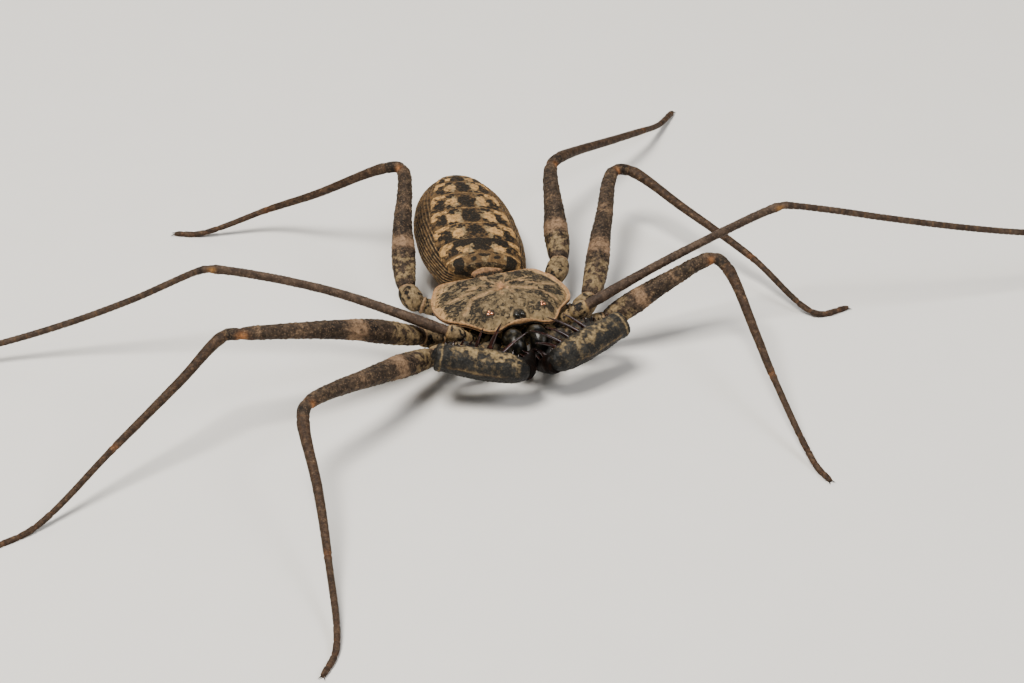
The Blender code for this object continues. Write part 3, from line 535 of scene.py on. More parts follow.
def smooth_profile(pairs, distances, blur=0.05):
    """Radii at distances, read between (distance, radius) pairs and rounded off."""
    places, sizes = zip(*sorted(pairs))
    fine = np.arange(distances[0] - 1.0, distances[-1] + 1.0, PROFILE_STEP)
    kernel = np.exp(-0.5 * (np.arange(-PROFILE_REACH, PROFILE_REACH + 1) * PROFILE_STEP / blur) ** 2)
    sizes = np.pad(np.interp(fine, places, sizes), PROFILE_REACH, mode="edge")
    return np.interp(distances, fine, np.convolve(sizes, kernel / kernel.sum(), mode="valid"))


def pose_prosoma(points):
    """Tilts places of the shield a little to the animal's left, and turns them a little."""
    level = np.array((0.0, 0.0, RIM_HEIGHT))
    return turned(turned(points - level, (2, 0), PROSOMA_ROLL) + level, (0, 1), PROSOMA_TURN)


def rim_level(rim):
    """Height of the shield's rim, which droops at the sides and arches over the jaws."""
    arch = FRONT_ARCH * bell(rim[..., 0], 0.0, 1.4) * (rim[..., 1] < 0.0)
    return RIM_HEIGHT - SIDE_DROOP * (rim[..., 0] / CARAPACE_HALF_WIDTH) ** 2 + arch


def ball(rows, columns, margin):
    """Rows of points round a ball of radius 1, from its top to its bottom."""
    down = np.linspace(margin, np.pi - margin, rows)[:, None]
    around = np.linspace(0.0, 2 * np.pi, columns + 1)[None, :-1]
    return stack(np.sin(down) * np.cos(around), np.sin(down) * np.sin(around), np.cos(down))


def skin(grid):
    """Vertices and faces of a closed surface over rows of points that wrap round."""
    rows, columns = grid.shape[:2]
    vertices = np.concatenate((grid.reshape(-1, 3), grid[:1].mean(axis=1), grid[-1:].mean(axis=1)))
    index = np.arange(rows * columns).reshape(rows, columns)
    after = np.roll(index, -1, axis=1)
    quads = np.stack((index[:-1], after[:-1], after[1:], index[1:]), axis=-1).reshape(-1, 4)
    first, last = rows * columns, rows * columns + 1
    fans = [(first, int(b), int(a)) for a, b in zip(index[0], after[0])]
    fans += [(last, int(a), int(b)) for a, b in zip(index[-1], after[-1])]
    corners = vertices[quads]
    middle = vertices.mean(axis=0)
    across = np.cross(corners[:, 2] - corners[:, 0], corners[:, 3] - corners[:, 1])
    outward = np.einsum("ij,ij->", corners.mean(axis=1) - middle, across) > 0.0
    faces = quads.tolist() + fans
    if not outward:
        faces = [face[::-1] for face in faces]
    return vertices, faces


def piece(name, grids, marks, material, nodes=()):
    """Makes one object from grids of points, with its marks, and puts it on the frame."""
    vertices, faces, values = [], [], {mark: [] for mark in MARKS}
    start = 0
    for grid, given in zip(grids, marks):
        more, their = skin(grid)
        vertices.append(more)
        faces += [[corner + start for corner in face] for face in their]
        start += len(more)
        for mark in MARKS:
            rows = np.broadcast_to(given.get(mark, 0.0), grid.shape[:2])
            values[mark].append(np.concatenate((rows.ravel(), (rows[0].mean(), rows[-1].mean()))))
    mesh = bpy.data.meshes.new(name)
    mesh.from_pydata(((np.concatenate(vertices) + BODY_AT) * MM).tolist(), [], faces)
    for mark in MARKS:
        shares = np.clip(np.concatenate(values[mark]), 0.0, 1.0).astype(np.float32)
        mesh.attributes.new(mark, "FLOAT", "POINT").data.foreach_set("value", shares)
    mesh.shade_smooth()
    mesh.materials.append(bpy.data.materials[material])
    item = bpy.data.objects.new(name, mesh)
    bpy.context.scene.collection.objects.link(item)
    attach(item, "root")
    if nodes:
        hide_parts(*nodes)


def limb(route, distances, radii, sides, depth=1.0, relief=None, up=(0.0, 0.0, 1.0), floor=None):
    """Rows of points round a route, with the angle round it; relief(points, angles) lifts the shell."""
    places, across, above = frames_along(route, distances, up)
    angles = 2.0 * np.pi * (np.arange(sides) + 0.5) / sides
    outward = across[:, None] * np.cos(angles)[:, None] + above[:, None] * (depth * np.sin(angles)[:, None])
    grid = places[:, None] + outward * np.asarray(radii).reshape(len(distances), -1, 1)
    if relief is not None:
        grid = grid + outward * relief(grid, angles)[..., None]
    if floor is not None:
        grid[..., 2] = np.maximum(grid[..., 2], floor)
    return grid, angles


def spike(root, direction, length, radius, bend=(0.0, 0.0, 0.0), rows=14, sides=8):
    """A curved, tapered spine whose root is sunk in the shell that it grows from."""
    direction, bend = unit(np.array(direction)), np.array(bend)
    middle = root + direction * length * 0.5 + bend * 0.25
    route = Route([root - direction * SPIKE_SINK, root, middle, root + direction * length + bend])
    shares = np.linspace(0.0, 1.0, rows)
    radii = radius * (1.0 - shares) ** 0.75 + SPIKE_TIP_RADIUS
    return limb(route, shares * route.length, radii, sides, up=(0.13, 0.99, 0.05))[0]


class Look:
    """One procedural material, built from a few kinds of nodes."""

    def __init__(self, name, roughness, specular=0.5, coat=0.0):
        self.material = bpy.data.materials.new(name)
        self.material.use_nodes = True
        self.nodes = self.material.node_tree.nodes
        self.shader = self.nodes["Principled BSDF"]
        self.shader.inputs["Roughness"].default_value = roughness
        self.shader.inputs["Specular IOR Level"].default_value = specular
        self.shader.inputs["Coat Weight"].default_value = coat
        self.place = self.node("ShaderNodeTexCoord", "Object", {})

    def put(self, value, socket):
        """Sets a socket to a number or colour, or links another socket to it."""
        if isinstance(value, bpy.types.NodeSocket):
            self.material.node_tree.links.new(value, socket)
        elif isinstance(value, tuple):
            socket.default_value = (*value, 1.0)
        else:
            socket.default_value = value

    def node(self, kind, output, inputs, **settings):
        """Adds a node with its inputs and settings, and gives one of its outputs."""
        node = self.nodes.new(kind)
        for name, value in settings.items():
            setattr(node, name, value)
        for name, value in inputs.items():
            self.put(value, node.inputs[name])
        return node.outputs[output]

    def paint(self, socket, value):
        """Sets one of the shader's own sockets."""
        self.put(value, self.shader.inputs[socket])

    def math(self, operation, a, b):
        """The sum, difference, product or other outcome of two values."""
        return self.node("ShaderNodeMath", 0, {0: a, 1: b}, operation=operation)

    def noise(self, size, detail=3.0, roughness=0.55):
        """Noise with lumps of a size in millimetres."""
        inputs = {"Vector": self.place, "Scale": 1.0 / (size * MM), "Detail": detail, "Roughness": roughness}
        return self.node("ShaderNodeTexNoise", "Fac", inputs)

    def cells(self, size):
        """Distance from the middle of cells of a size in millimetres."""
        inputs = {"Vector": self.place, "Scale": 1.0 / (size * MM)}
        return self.node("ShaderNodeTexVoronoi", "Distance", inputs)

    def mark(self, name):
        """One of the marks that a mesh carries."""
        return self.node("ShaderNodeAttribute", "Fac", {}, attribute_name=name)

    def rise(self, value, low, high, top=1.0):
        """Rises smoothly from 0 at low to the top at high."""
        inputs = {"Value": value, "From Min": low, "From Max": high, "To Max": top}
        return self.node("ShaderNodeMapRange", "Result", inputs, interpolation_type="SMOOTHSTEP")

    def mix(self, a, b, factor):
        """Goes from one colour to another as the factor goes from 0 to 1."""
        return self.node("ShaderNodeMix", 2, {0: factor, 6: a, 7: b}, data_type="RGBA")

    def bump(self, height, strength, distance):
        """Adds fine relief, with a height in millimetres for a value of 1."""
        inputs = {"Strength": strength, "Distance": distance * MM, "Height": height}
        self.paint("Normal", self.node("ShaderNodeBump", "Normal", inputs))


def shell_look(name, base, blotches, pale, warm, dark, grain_colour, grain, grain_size,
               rough=(0.5, 0.75), blotch=0.8, edge=0.5, soft=0.2):
    """Arthropod shell: blotched base, pale and dark markings, warm membranes and fine grains."""
    look = Look(name, rough[0], specular=0.16)
    fine = look.noise(0.16, detail=4.0)
    ragged = look.math("SUBTRACT", look.math("ADD", fine, look.noise(0.45)), 1.0)
    ragged = look.math("MULTIPLY", ragged, edge)
    colour = look.mix(base, blotches, look.rise(look.noise(blotch), 0.42, 0.62))
    for mark, tone in (("tan", TAN), ("pale", pale), ("warm", warm), ("dark", dark)):
        part = look.mark(mark)
        if mark != "warm":
            part = look.math("SUBTRACT" if mark == "dark" else "ADD", part, ragged)
            part = look.rise(part, 0.5 - soft, 0.5 + soft)
        colour = look.mix(colour, tone, part)
    grain_height = look.rise(look.cells(grain_size), 0.42, 0.12)
    worn = look.math("MULTIPLY", grain, look.math("SUBTRACT", 1.0, look.mark("bare")))
    colour = look.mix(colour, grain_colour, look.math("MULTIPLY", grain_height, worn))
    # Painted fine shadows: noise darkens the colour towards a quarter of the base colour
    shade = look.rise(look.noise(0.3, detail=5.0, roughness=0.7), 0.35, 0.6, FINE_SHADOW_DEPTH)
    shadow = tuple(0.25 * channel for channel in base)
    look.paint("Base Color", look.mix(colour, shadow, look.math("SUBTRACT", FINE_SHADOW_DEPTH, shade)))
    roughness = look.math("ADD", rough[0], look.math("MULTIPLY", fine, 2.0 * (rough[1] - rough[0])))
    gloss = look.math("MULTIPLY", look.mark("gloss"), 0.4)
    look.paint("Roughness", look.math("SUBTRACT", roughness, gloss))
    height = look.math("ADD", grain_height, look.math("MULTIPLY", look.noise(0.09, detail=2.0), 0.8))
    look.bump(height, 0.5, 0.045)


def gloss_look(name, colour, tint, rough, size, coat=0.0, specular=0.4, metallic=0.0):
    """Hard glossy shell with a faint mottle, fine wear, and the tint on pale marks."""
    look = Look(name, rough, specular=specular, coat=coat)
    look.paint("Metallic", metallic)
    look.paint("Coat Roughness", 0.12)
    mottle = look.math("ADD", look.rise(look.noise(size), 0.45, 0.75), look.mark("pale"))
    look.paint("Base Color", look.mix(colour, tint, look.math("MINIMUM", mottle, 1.0)))
    fine = look.noise(0.12)
    look.paint("Roughness", look.math("ADD", rough, look.math("MULTIPLY", fine, 0.18)))
    look.bump(fine, 0.25, 0.02)


def make_looks():
    """Makes every material of the animal."""
    for name, given in SHELLS.items():
        shell_look(name, **given)
    for name, given in GLOSSY_SHELLS.items():
        gloss_look(name, **given)


def closed_outline(half, count):
    """Evenly spaced points round a symmetric outline that is given as its left half."""
    loop = [(x, y, 0.0) for x, y in half] + [(-x, y, 0.0) for x, y in half[-2:0:-1]]
    route = Route([*loop[-2:], *loop, *loop[:3]])
    first = route.distances[2 * Route.STEPS]
    last = route.distances[(len(loop) + 2) * Route.STEPS]
    return route.at(first + (last - first) * np.arange(count) / count)[:, :2]


def carapace_shape(places, share, rim):
    """Height of the shield at places a share of the way out to the rim, and their distance from it."""
    rise = DOME * np.maximum(0.0, 1.0 - (share / 0.95) ** 2.6) ** 0.75
    offset = places - CARAPACE_CENTRE
    angle = np.degrees(np.arctan2(offset[..., 1], np.abs(offset[..., 0])))
    band = np.sin(np.pi * np.clip((share - 0.1) / 0.8, 0.0, 1.0))
    for furrow in FURROW_ANGLES:
        rise = rise - FURROW_DEPTH * band * bell(angle, furrow, 6.0)
    rise = rise - FOVEA_DEPTH * bell(away(places, FOVEA_PLACE, (1.0, 0.75)), 0.0, 0.42)
    rise = rise + MIDDLE_MOUND * bell(away(places, MEDIAN_EYES, (0.8, 1.0)), 0.0, 0.52)
    for sign in (-1.0, 1.0):
        rise = rise + SIDE_MOUND * bell(away(places, LATERAL_EYES * (sign, 1.0)), 0.0, 0.5)
    from_rim = (1.0 - share) * away(rim, CARAPACE_CENTRE)
    rise = rise + 0.1 * bell(from_rim, 0.0, 0.13) - 0.05 * bell(from_rim, 0.32, 0.12)
    return rim_level(rim) + rise, from_rim


def shield_marks(places, reach, from_rim, lumps):
    """Markings of the shield's top: pale flange, freckled dark and tan patches, and tan furrows."""
    x, y = places[..., 0], places[..., 1]
    flat = stack(x, y, 0.0)
    freckles = noise(flat, 0.15, 45, 3)
    offset = places - FOVEA_PLACE
    around = np.arctan2(offset[..., 1], np.abs(offset[..., 0]))
    polar = stack(np.cos(around) * 3.4 + np.sign(x) * 9.0, np.sin(around) * 3.4, away(offset, 0.0) * 0.45)
    arcs = noise(stack(x * 0.45, y * 1.5 + 0.06 * x ** 2, 0.0), 0.38, 37, 3)
    specks = noise(flat, 0.3, 41, 2)
    rear = step(0.6, 2.2, y)
    mottle = (1.0 - rear) * (0.5 * noise(polar, 0.24, 31, 3) + 0.5 * specks)
    mottle = mottle + rear * (0.6 * arcs + 0.4 * specks) + 0.4 * (lumps - 0.5)
    half = stack(np.abs(x), y) + 0.3 * (stack(lumps, noise(flat, 0.7, 43, 2)) - 0.5)
    dark = patches(half, DARK_PATCHES)
    tan = [line_mark(half, line, width) for line, width in TAN_LINES]
    tan = np.max([patches(half, TAN_PATCHES), *tan], axis=0)
    flange = 0.1 + 0.5 * step(3.4, 4.7, reach) * step(-1.8, 0.3, y)
    flange = flange + 0.4 * bell(reach, 4.3, 0.8) * step(1.8, 2.8, y)
    flange = flange + 0.12 * step(2.0, 1.2, reach) * step(2.0, 3.0, y)
    ragged = 0.5 * (lumps - 0.5) + 0.45 * (freckles - 0.5)
    pale = 1.0 - step(flange - 0.08, flange + 0.14, from_rim + ragged * step(0.08, 0.3, from_rim))
    pale = pale * (1.0 - 0.75 * step(0.5, 0.64, specks) * step(0.1, 0.35, from_rim))
    field = step(flange - 0.05, flange + 0.3, from_rim + ragged)
    front = step(-2.5, -3.1, y)
    head = patch(half, HEAD_PATCH)
    fine = mottle + 0.75 * (freckles - 0.5) + 0.45 * (noise(polar, 0.1, 47, 2) - 0.5) * (1.0 - head)
    dark = field * step(0.42, 0.6, fine + 0.19 * dark - 0.34 * tan - 0.12 * front - 0.05 * head)
    dark = dark * (1.0 - 0.3 * head) * (1.0 - 0.42 * step(0.53, 0.66, noise(flat, 0.17, 49, 2)))
    on_flange = (1.0 - field) * step(0.62, 0.7, freckles) * step(0.12, 0.3, from_rim)
    star = bell(away(places, FOVEA_PLACE, (1.0, 0.8)), 0.0, 0.35)
    from_eyes = away(places, MEDIAN_EYES, (0.72, 1.0))
    eyes = step(0.42, 0.34, from_eyes + 0.1 * (freckles - 0.5))
    for sign in (-1.0, 1.0):
        from_side_eyes = away(places, LATERAL_EYES * (sign, 1.0), (0.85, 1.0))
        eyes = eyes + step(0.42, 0.28, from_side_eyes + 0.15 * (freckles - 0.5))
    ring = bell(from_eyes, 0.5, 0.06)
    return {
        "pale": pale + 0.3 * star + 0.55 * field * step(0.55, 1.0, tan) * step(0.42, 0.6, freckles),
        "dark": np.maximum(dark, eyes) + 0.7 * on_flange,
        "tan": field * np.maximum(0.85 * tan, 0.62 * front) + 0.45 * head * step(0.4, 0.6, lumps)
        + 0.5 * ring + 0.4 * (1.0 - field),
        "warm": 0.25 * bell(from_rim, 0.05, 0.1) + 0.3 * star + 0.12 * field * tan,
        "gloss": 0.3 * eyes,
    }


def make_carapace():
    """The shield: pale flared rim, radiating dark mottling, furrows, fovea and fine grains."""
    rim = closed_outline(CARAPACE_OUTLINE, CARAPACE_COLUMNS)
    shares = np.concatenate((1.0 - 0.25 * np.linspace(0.0, 1.0, 60) ** 1.2, np.linspace(0.745, 0.01, 90)))
    rims = np.broadcast_to(rim[None], (len(shares), *rim.shape))
    places = CARAPACE_CENTRE + (rims - CARAPACE_CENTRE) * shares[:, None, None]
    height, from_rim = carapace_shape(places, shares[:, None], rims)
    flat = stack(places[..., 0], places[..., 1], 0.0)
    lumps = noise(flat, 0.7, 11, 3)
    grain = 1.0 - step(0.1, 0.5, grains(flat, 0.34, 21))
    height = height + step(0.3, 0.8, from_rim) * (0.05 * grain + 0.12 * (lumps - 0.5))
    denticles = np.maximum(0.0, np.sin(np.arange(len(rim)) * 2.0 * np.pi / COLUMNS_PER_DENTICLE))
    height = height + 0.04 * denticles * (rims[..., 1] < -1.0) * bell(from_rim, 0.0, 0.09)
    marks = shield_marks(places, np.abs(rims[..., 0]), from_rim, lumps)

    out, drops, pale_edge, dark_edge = (column[:, None] for column in np.array(RIM_ROWS[::-1]).T)
    edge = CARAPACE_CENTRE + (rim - CARAPACE_CENTRE) * out[..., None]
    under = stack(edge[..., 0], edge[..., 1], rim_level(rim) - drops)
    grid = np.concatenate((under, stack(places[..., 0], places[..., 1], height)))
    over_jaws = step(2.0, 1.4, np.abs(rim[:, 0])) * (rim[:, 1] < 0.0) * (drops > 0.07)
    edges = {"pale": pale_edge * (1.0 - over_jaws), "dark": dark_edge + over_jaws * (1.0 - dark_edge)}
    for mark in marks:
        edge = np.broadcast_to(edges.get(mark, 0.3), (len(RIM_ROWS), len(rim)))
        marks[mark] = np.concatenate((edge, marks[mark]))
    piece("carapace_shell", [pose_prosoma(grid)], [marks], "carapace_shell", ["carapace"])


def surface_height(place):
    """Height of the shield's top at one place."""
    rim = closed_outline(CARAPACE_OUTLINE, 360)
    offset = place - CARAPACE_CENTRE
    reach = away(rim, CARAPACE_CENTRE)
    best = np.argmax((rim - CARAPACE_CENTRE) / reach[:, None] @ unit(offset))
    share = np.linalg.norm(offset) / reach[best]
    return float(carapace_shape(place[None], np.array([share]), rim[best][None])[0][0])


def lens(place, sink, radius):
    """A small dome of an eye, sunk in the shield."""
    level = surface_height(np.array(place)) - sink
    dome = ball(16, 24, 0.02) * (1.0, 1.0, LENS_FLATNESS)
    return pose_prosoma(dome * radius + np.array((*place, level)))


def make_eyes():
    """The two lenses of the middle eyes, and a cluster of three on each side."""
    x, y = MEDIAN_EYES
    lenses = [lens((x + aside, y - 0.02), 0.12, 0.24) for aside in (-0.22, 0.22)]
    piece("eyes_median_lenses", lenses, [{}] * 2, "eye_lens", ["eyes_median"])
    for side, sign in (("left", 1.0), ("right", -1.0)):
        x, y = LATERAL_EYES * (sign, 1.0)
        spots = ((x - 0.11 * sign, y - 0.1), (x + 0.13 * sign, y), (x + 0.01 * sign, y + 0.17))
        lenses = [lens(spot, 0.05, 0.16) for spot in spots]
        piece(f"eyes_lateral_{side}_lenses", lenses, [{}] * 3, "side_eye_lens",
              [f"eyes_lateral_{side}"])


def tergite_marks(side, within, index, place):
    """Markings of a tergite: its side runs from -1 to 1 and within from 0, in front, to 1."""
    warp = noise(place, 0.55, 51, 3) - 0.5
    fine = noise(place, 0.2, 55, 2) - 0.5
    w = np.abs(side) + 0.2 * warp + 0.1 * fine
    v = within + 0.42 * (noise(place, 0.5, 53, 3) - 0.5) + 0.25 * fine
    spot = stack(w, v)
    corner = patches(spot, TERGITE_CORNER)
    line = bell(within, 0.95, 0.035) * step(0.3, 0.5, warp + 0.5 + 0.3 * w)
    crumbs = step(0.5, 0.62, noise(place, 0.3, 57, 3))
    pale = np.maximum(patch(spot, TERGITE_SALMON), corner) * (1.0 - 0.48 * crumbs)
    pale = np.maximum(pale, 0.62 * line)
    loose = noise(place, 0.35, 59, 3) - 0.3 * pale + 0.1 * bell(within, 0.05, 0.12)
    loose = 0.7 * step(0.47, 0.62, loose)
    side_spot = patch(spot, SIDE_SPOT) * (1.0 - patch(spot, SIDE_SPOT_EYE))
    dark = np.max([patches(spot, TERGITE_SPOTS), side_spot, loose], axis=0)
    dark = dark * (1.0 - 0.45 * step(0.52, 0.68, noise(place, 0.17, 58, 2)))
    tan = 0.4 * corner + 0.45 * patch(spot, SALMON_FRINGE) + 0.35 * bell(w, 0.3, 0.08)

    second = index == 1
    band = step(0.45, 0.62, v) * step(1.0, 0.93, within) * step(0.78, 0.62, w)
    edge_line = bell(within, 0.1, 0.06) * step(0.5, 0.62, w)
    banded = np.maximum(dark, band) * (1.0 - edge_line) * (1.0 - step(0.3, 0.15, within))
    dark = np.where(second, banded, dark)
    faded = pale * (1.0 - 0.9 * band) * np.where(w < 0.62, 0.8, 1.0)
    pale = np.where(second, np.maximum(faded, 0.7 * edge_line), pale)

    first = index == 0
    pale = np.where(first, 0.6 * step(0.9, 0.99, w) + 0.4 * line, pale)
    dark = np.where(first, 0.4 * loose, dark)
    tan = np.where(first, 0.6 * step(0.35, 0.6, warp + 0.5), tan)
    # The thin dark line along each tergite's front edge is painted shadow, cast by the plate in front of it
    return pale, np.maximum(dark * (1.0 - 0.6 * line), 0.8 * bell(within, 0.015, 0.03)), tan


def make_abdomen():
    """The abdomen: overlapping tergites with dark spots, folded soft flanks, plain sternites."""
    rows, columns = ABDOMEN_GRID
    even = np.linspace(0.0, 1.0, rows)[:, None]
    u = 0.002 + 0.993 * (0.3 * (0.5 - 0.5 * np.cos(np.pi * even)) + 0.7 * even)
    angle = (2.0 * np.pi * (np.arange(columns) + 0.5) / columns)[None]
    bevel = 1.0 - np.maximum(0.0, 1.0 - u / ABDOMEN_BEVEL) ** 2
    share = np.maximum(0.0, 1.0 - np.abs((u - 0.42) / 0.585) ** 2.3) ** 0.55 * (0.72 + 0.28 * np.sqrt(bevel))
    cos, sin = np.cos(angle), np.sin(angle)
    across, rise = (np.sign(part) * np.abs(part) ** ABDOMEN_ROUNDING for part in (cos, sin))
    height = ABDOMEN_BOTTOM + (ABDOMEN_TOP - ABDOMEN_BOTTOM) * step(-0.15, 0.15, sin)
    side = across / (0.93 - 0.42 * np.clip(u, 0.0, 0.75))
    bowed = u - 0.008 * (1.0 - side ** 2)
    ends = np.array((0.0, *TERGITE_ENDS))
    index = np.clip(np.searchsorted(ends, bowed, side="right") - 1, 0, len(TERGITE_ENDS) - 1)
    within = np.clip((bowed - ends[index]) / (ends[index + 1] - ends[index]), 0.0, 1.0)
    plate = step(1.03, 0.98, np.abs(side) + 0.05 * (2.0 * within - 1.0) ** 4) * (sin > 0)
    lift = plate * TERGITE_STEP * (0.3 + 0.8 * within) * step(1.0, 0.95, within)
    flank = (1.0 - plate) * step(-0.75, -0.45, sin) * step(0.0, 0.015, u) * step(1.0, 0.9, u)
    above = rise * height * share ** 0.75 + lift
    place = stack(across * ABDOMEN_HALF_WIDTH * share, u * ABDOMEN_LENGTH, above)

    around = np.where(cos > 0, angle, np.pi - angle)
    around = np.where(around > np.pi, around - 2.0 * np.pi, around)
    sway = 6.0 * (noise(place, 2.2, 3, 2) - 0.5)
    wave = np.cos(np.degrees(around) / FLANK_FOLD * 2.0 * np.pi + sway)
    lumps = noise(place, 0.9, 5, 3)
    grain = 1.0 - step(0.12, 0.5, grains(place, 0.3, 7))
    sternites = (sin < -0.6) * bell((u * 8.0) % 1.0, 0.0, 0.06)
    relief = 0.045 * flank * wave + 0.1 * (lumps - 0.5) + 0.022 * grain * plate - 0.06 * sternites
    place = place + stack(cos, 0.0 * u, sin) * relief[..., None]

    pale, dark, tan = tergite_marks(side, within, index, place)
    ragged = 0.35 * (stack(noise(place, 0.5, 69, 2), noise(place, 0.5, 71, 2)) - 0.5)
    ahead = stack(np.abs(place[..., 0]) - 0.25 * place[..., 1], place[..., 1]) + ragged
    big, small = (sin > 0.1) * patch(ahead, BIG_SPOT), (sin > 0.1) * patches(ahead, SMALL_SPOTS)
    dark, pale = np.max([dark, big, 0.8 * small], axis=0), pale * (1.0 - big)
    stripes = step(-0.2, 0.8, wave)
    mottled = step(0.42, 0.62, noise(place, 0.45, 63, 3))
    beads = step(0.4, 0.65, noise(place, 0.3, 67, 2))
    clear = 0.35 + 0.65 * step(0.65, 0.3, u + 0.3 * (lumps - 0.5))
    marks = {
        "pale": plate * pale + 0.12 * flank * stripes * beads * clear,
        "dark": plate * dark + flank * (0.24 + 0.42 * clear * (1.0 - stripes) + 0.16 * mottled),
        "tan": plate * tan + flank * stripes * clear * (0.3 + 0.35 * beads) + 0.25 * (1.0 - plate) * mottled,
        "warm": flank * stripes * (0.08 + 0.2 * beads * clear) + 0.1 * (sin < -0.5),
        "gloss": 0.1 * plate,
    }
    place[..., 0] += ABDOMEN_BOW * np.sin(np.pi * u)
    place = turned(turned(turned(place, (2, 0), ABDOMEN_ROLL), (1, 2), ABDOMEN_DROOP), (0, 1), ABDOMEN_TURN)
    piece("abdomen_shell", [place + ABDOMEN_FRONT], [marks], "abdomen_shell", ["abdomen"])


def make_first_tergite():
    """The first tergite, a pale crescent that lies in front of the others, its lower front darkened with
    painted shade where it meets the shield.
    """
    shape = ball(50, 96, 0.03)[..., (2, 0, 1)]
    plate = shape * FIRST_TERGITE_RADII
    speckle = noise(plate, 0.25, 65, 3) - 0.5
    up = shape[..., 1] + 0.5 * speckle
    plate = turned(plate, (1, 2), FIRST_TERGITE_SLOPE)
    plate[..., 1] -= 0.06 * shape[..., 0] ** 2
    marks = {
        "pale": 0.22 + 0.5 * step(0.6, 0.85, up) + 0.6 * speckle,
        "tan": 0.6 + 0.6 * speckle,
        "warm": 0.34 - 0.1 * up,
        # Painted shade: the lower front, next to the shield's rim, is darkened; the speckle is the plate's
        # own mottle
        "dark": 0.75 * step(0.5, -0.3, up) + 0.5 * speckle,
    }
    piece("first_tergite_shell", [plate + FIRST_TERGITE], [marks], "carapace_shell")


def grainy(height, size, seed, ridges=0, ridge_height=0.0):
    """A relief of scattered small tubercles, with low ridges along the limb."""
    def relief(grid, angles):
        bumps = height * (1.0 - step(0.1, 0.55, grains(grid, size, seed)))
        return bumps + ridge_height * np.cos(angles * ridges)[None]
    return relief


def leg_start(number, side):
    """The way of a leg from inside the body, sagging a little, to its hip."""
    hip, root = mirrored(HIPS[number], side), mirrored(COXA_ROOTS[number], side)
    return [root, (root + hip) / 2 - np.array((0.0, 0.0, COXA_SAG)), hip]


def hip_profile(hip, radius):
    """Radii from inside the body over the coxa's ring and the trochanter to the pinch behind it."""
    sections = [(hip + share * radius + extra, scale * radius) for share, extra, scale in HIP_SECTIONS]
    return [(0.0, 0.75 * radius), *sections]


def hip_marks(s, hip, radius):
    """The part of a leg up to its hip, and the pale rings on both sides of that, at distances s."""
    rings = bell(s, hip - radius - 0.1, 0.1) + bell(s, hip + radius + 0.02, 0.09)
    return step(hip + radius + 0.1, hip + radius, s), rings


def leg_marks(number, band, grid, s, high, at, radius):
    """Markings of a leg at distances s: marbled hip, banded femur, amber knee and plain dark shin."""
    hip, knee, shin, ankle = at["hip"], at["knee"], at["shin"], at["ankle"]
    f = (s - at["femur"]) / (knee - at["femur"]) + 0.03 * (noise(grid, 1.2, 71, 2) - 0.5)
    blots = noise(grid, 0.55, 73 + number, 3)
    small = noise(grid, 0.3, 79, 3)
    speck = noise(grid, 0.16, 83, 2)
    specks = step(0.42, 0.58, small + 0.3 * (blots - 0.5) + 0.06 * high)
    base_mottle = step(0.01, 0.05, f) * step(0.27, 0.17, f) * specks
    hips, rings = hip_marks(s, hip, radius)
    marbled = step(0.44, 0.64, small + 0.4 * (blots - 0.5) - 0.08 * high)
    marbled = hips * marbled * (1.0 - np.clip(rings, 0, 1))
    below = step(1.15, 0.15, high)
    on_shin = step(0.0, 0.05, (s - shin) / (ankle - shin))
    return {
        "pale": 0.66 * bell(f, band, 0.06) * (0.75 + 0.5 * blots) + 0.3 * bell(f, band + 0.3, 0.06)
        + 0.3 * bell(f, 0.93, 0.03) + 0.65 * bell(s, knee - 0.04, 0.32) * below
        + 0.75 * rings + 0.2 * bell(s, ankle, 0.2) + 0.08 * on_shin * step(0.45, 0.65, speck),
        "tan": 0.62 * base_mottle + hips * (0.55 + 0.4 * step(0.4, 0.6, blots)) + rings
        + 0.22 * (1.0 - hips) * (1.0 - 0.6 * on_shin) * step(0.5, 0.7, speck),
        "warm": 0.75 * bell(s, knee - 0.04, 0.34) * below + 0.1 * bell(s, shin, 0.1)
        + 0.3 * bell(s, ankle, 0.3) + 0.07 * on_shin + 0.1 * rings
        + 0.1 * sum(bell(s, joint, 0.12) for joint in at["joints"]),
        "dark": 0.85 * marbled + 0.6 * bell(f, band - 0.09, 0.03) * step(0.4, 0.5, blots)
        + 0.4 * bell(f, band + 0.14, 0.07) + 0.85 * bell(s, hip + radius + 0.14, 0.07)
        + 0.8 * bell(s, hip - radius + 0.08, 0.07) + 0.6 * bell(s, hip - radius - 0.3, 0.06)
        + 0.5 * bell(s, 0.5 * (knee + shin) + 0.15, 0.45) + 0.12 * step(0.5, 0.3, speck) + 0.3 * on_shin,
        "gloss": 0.25 * on_shin,
        "bare": 0.65 * on_shin,
    }


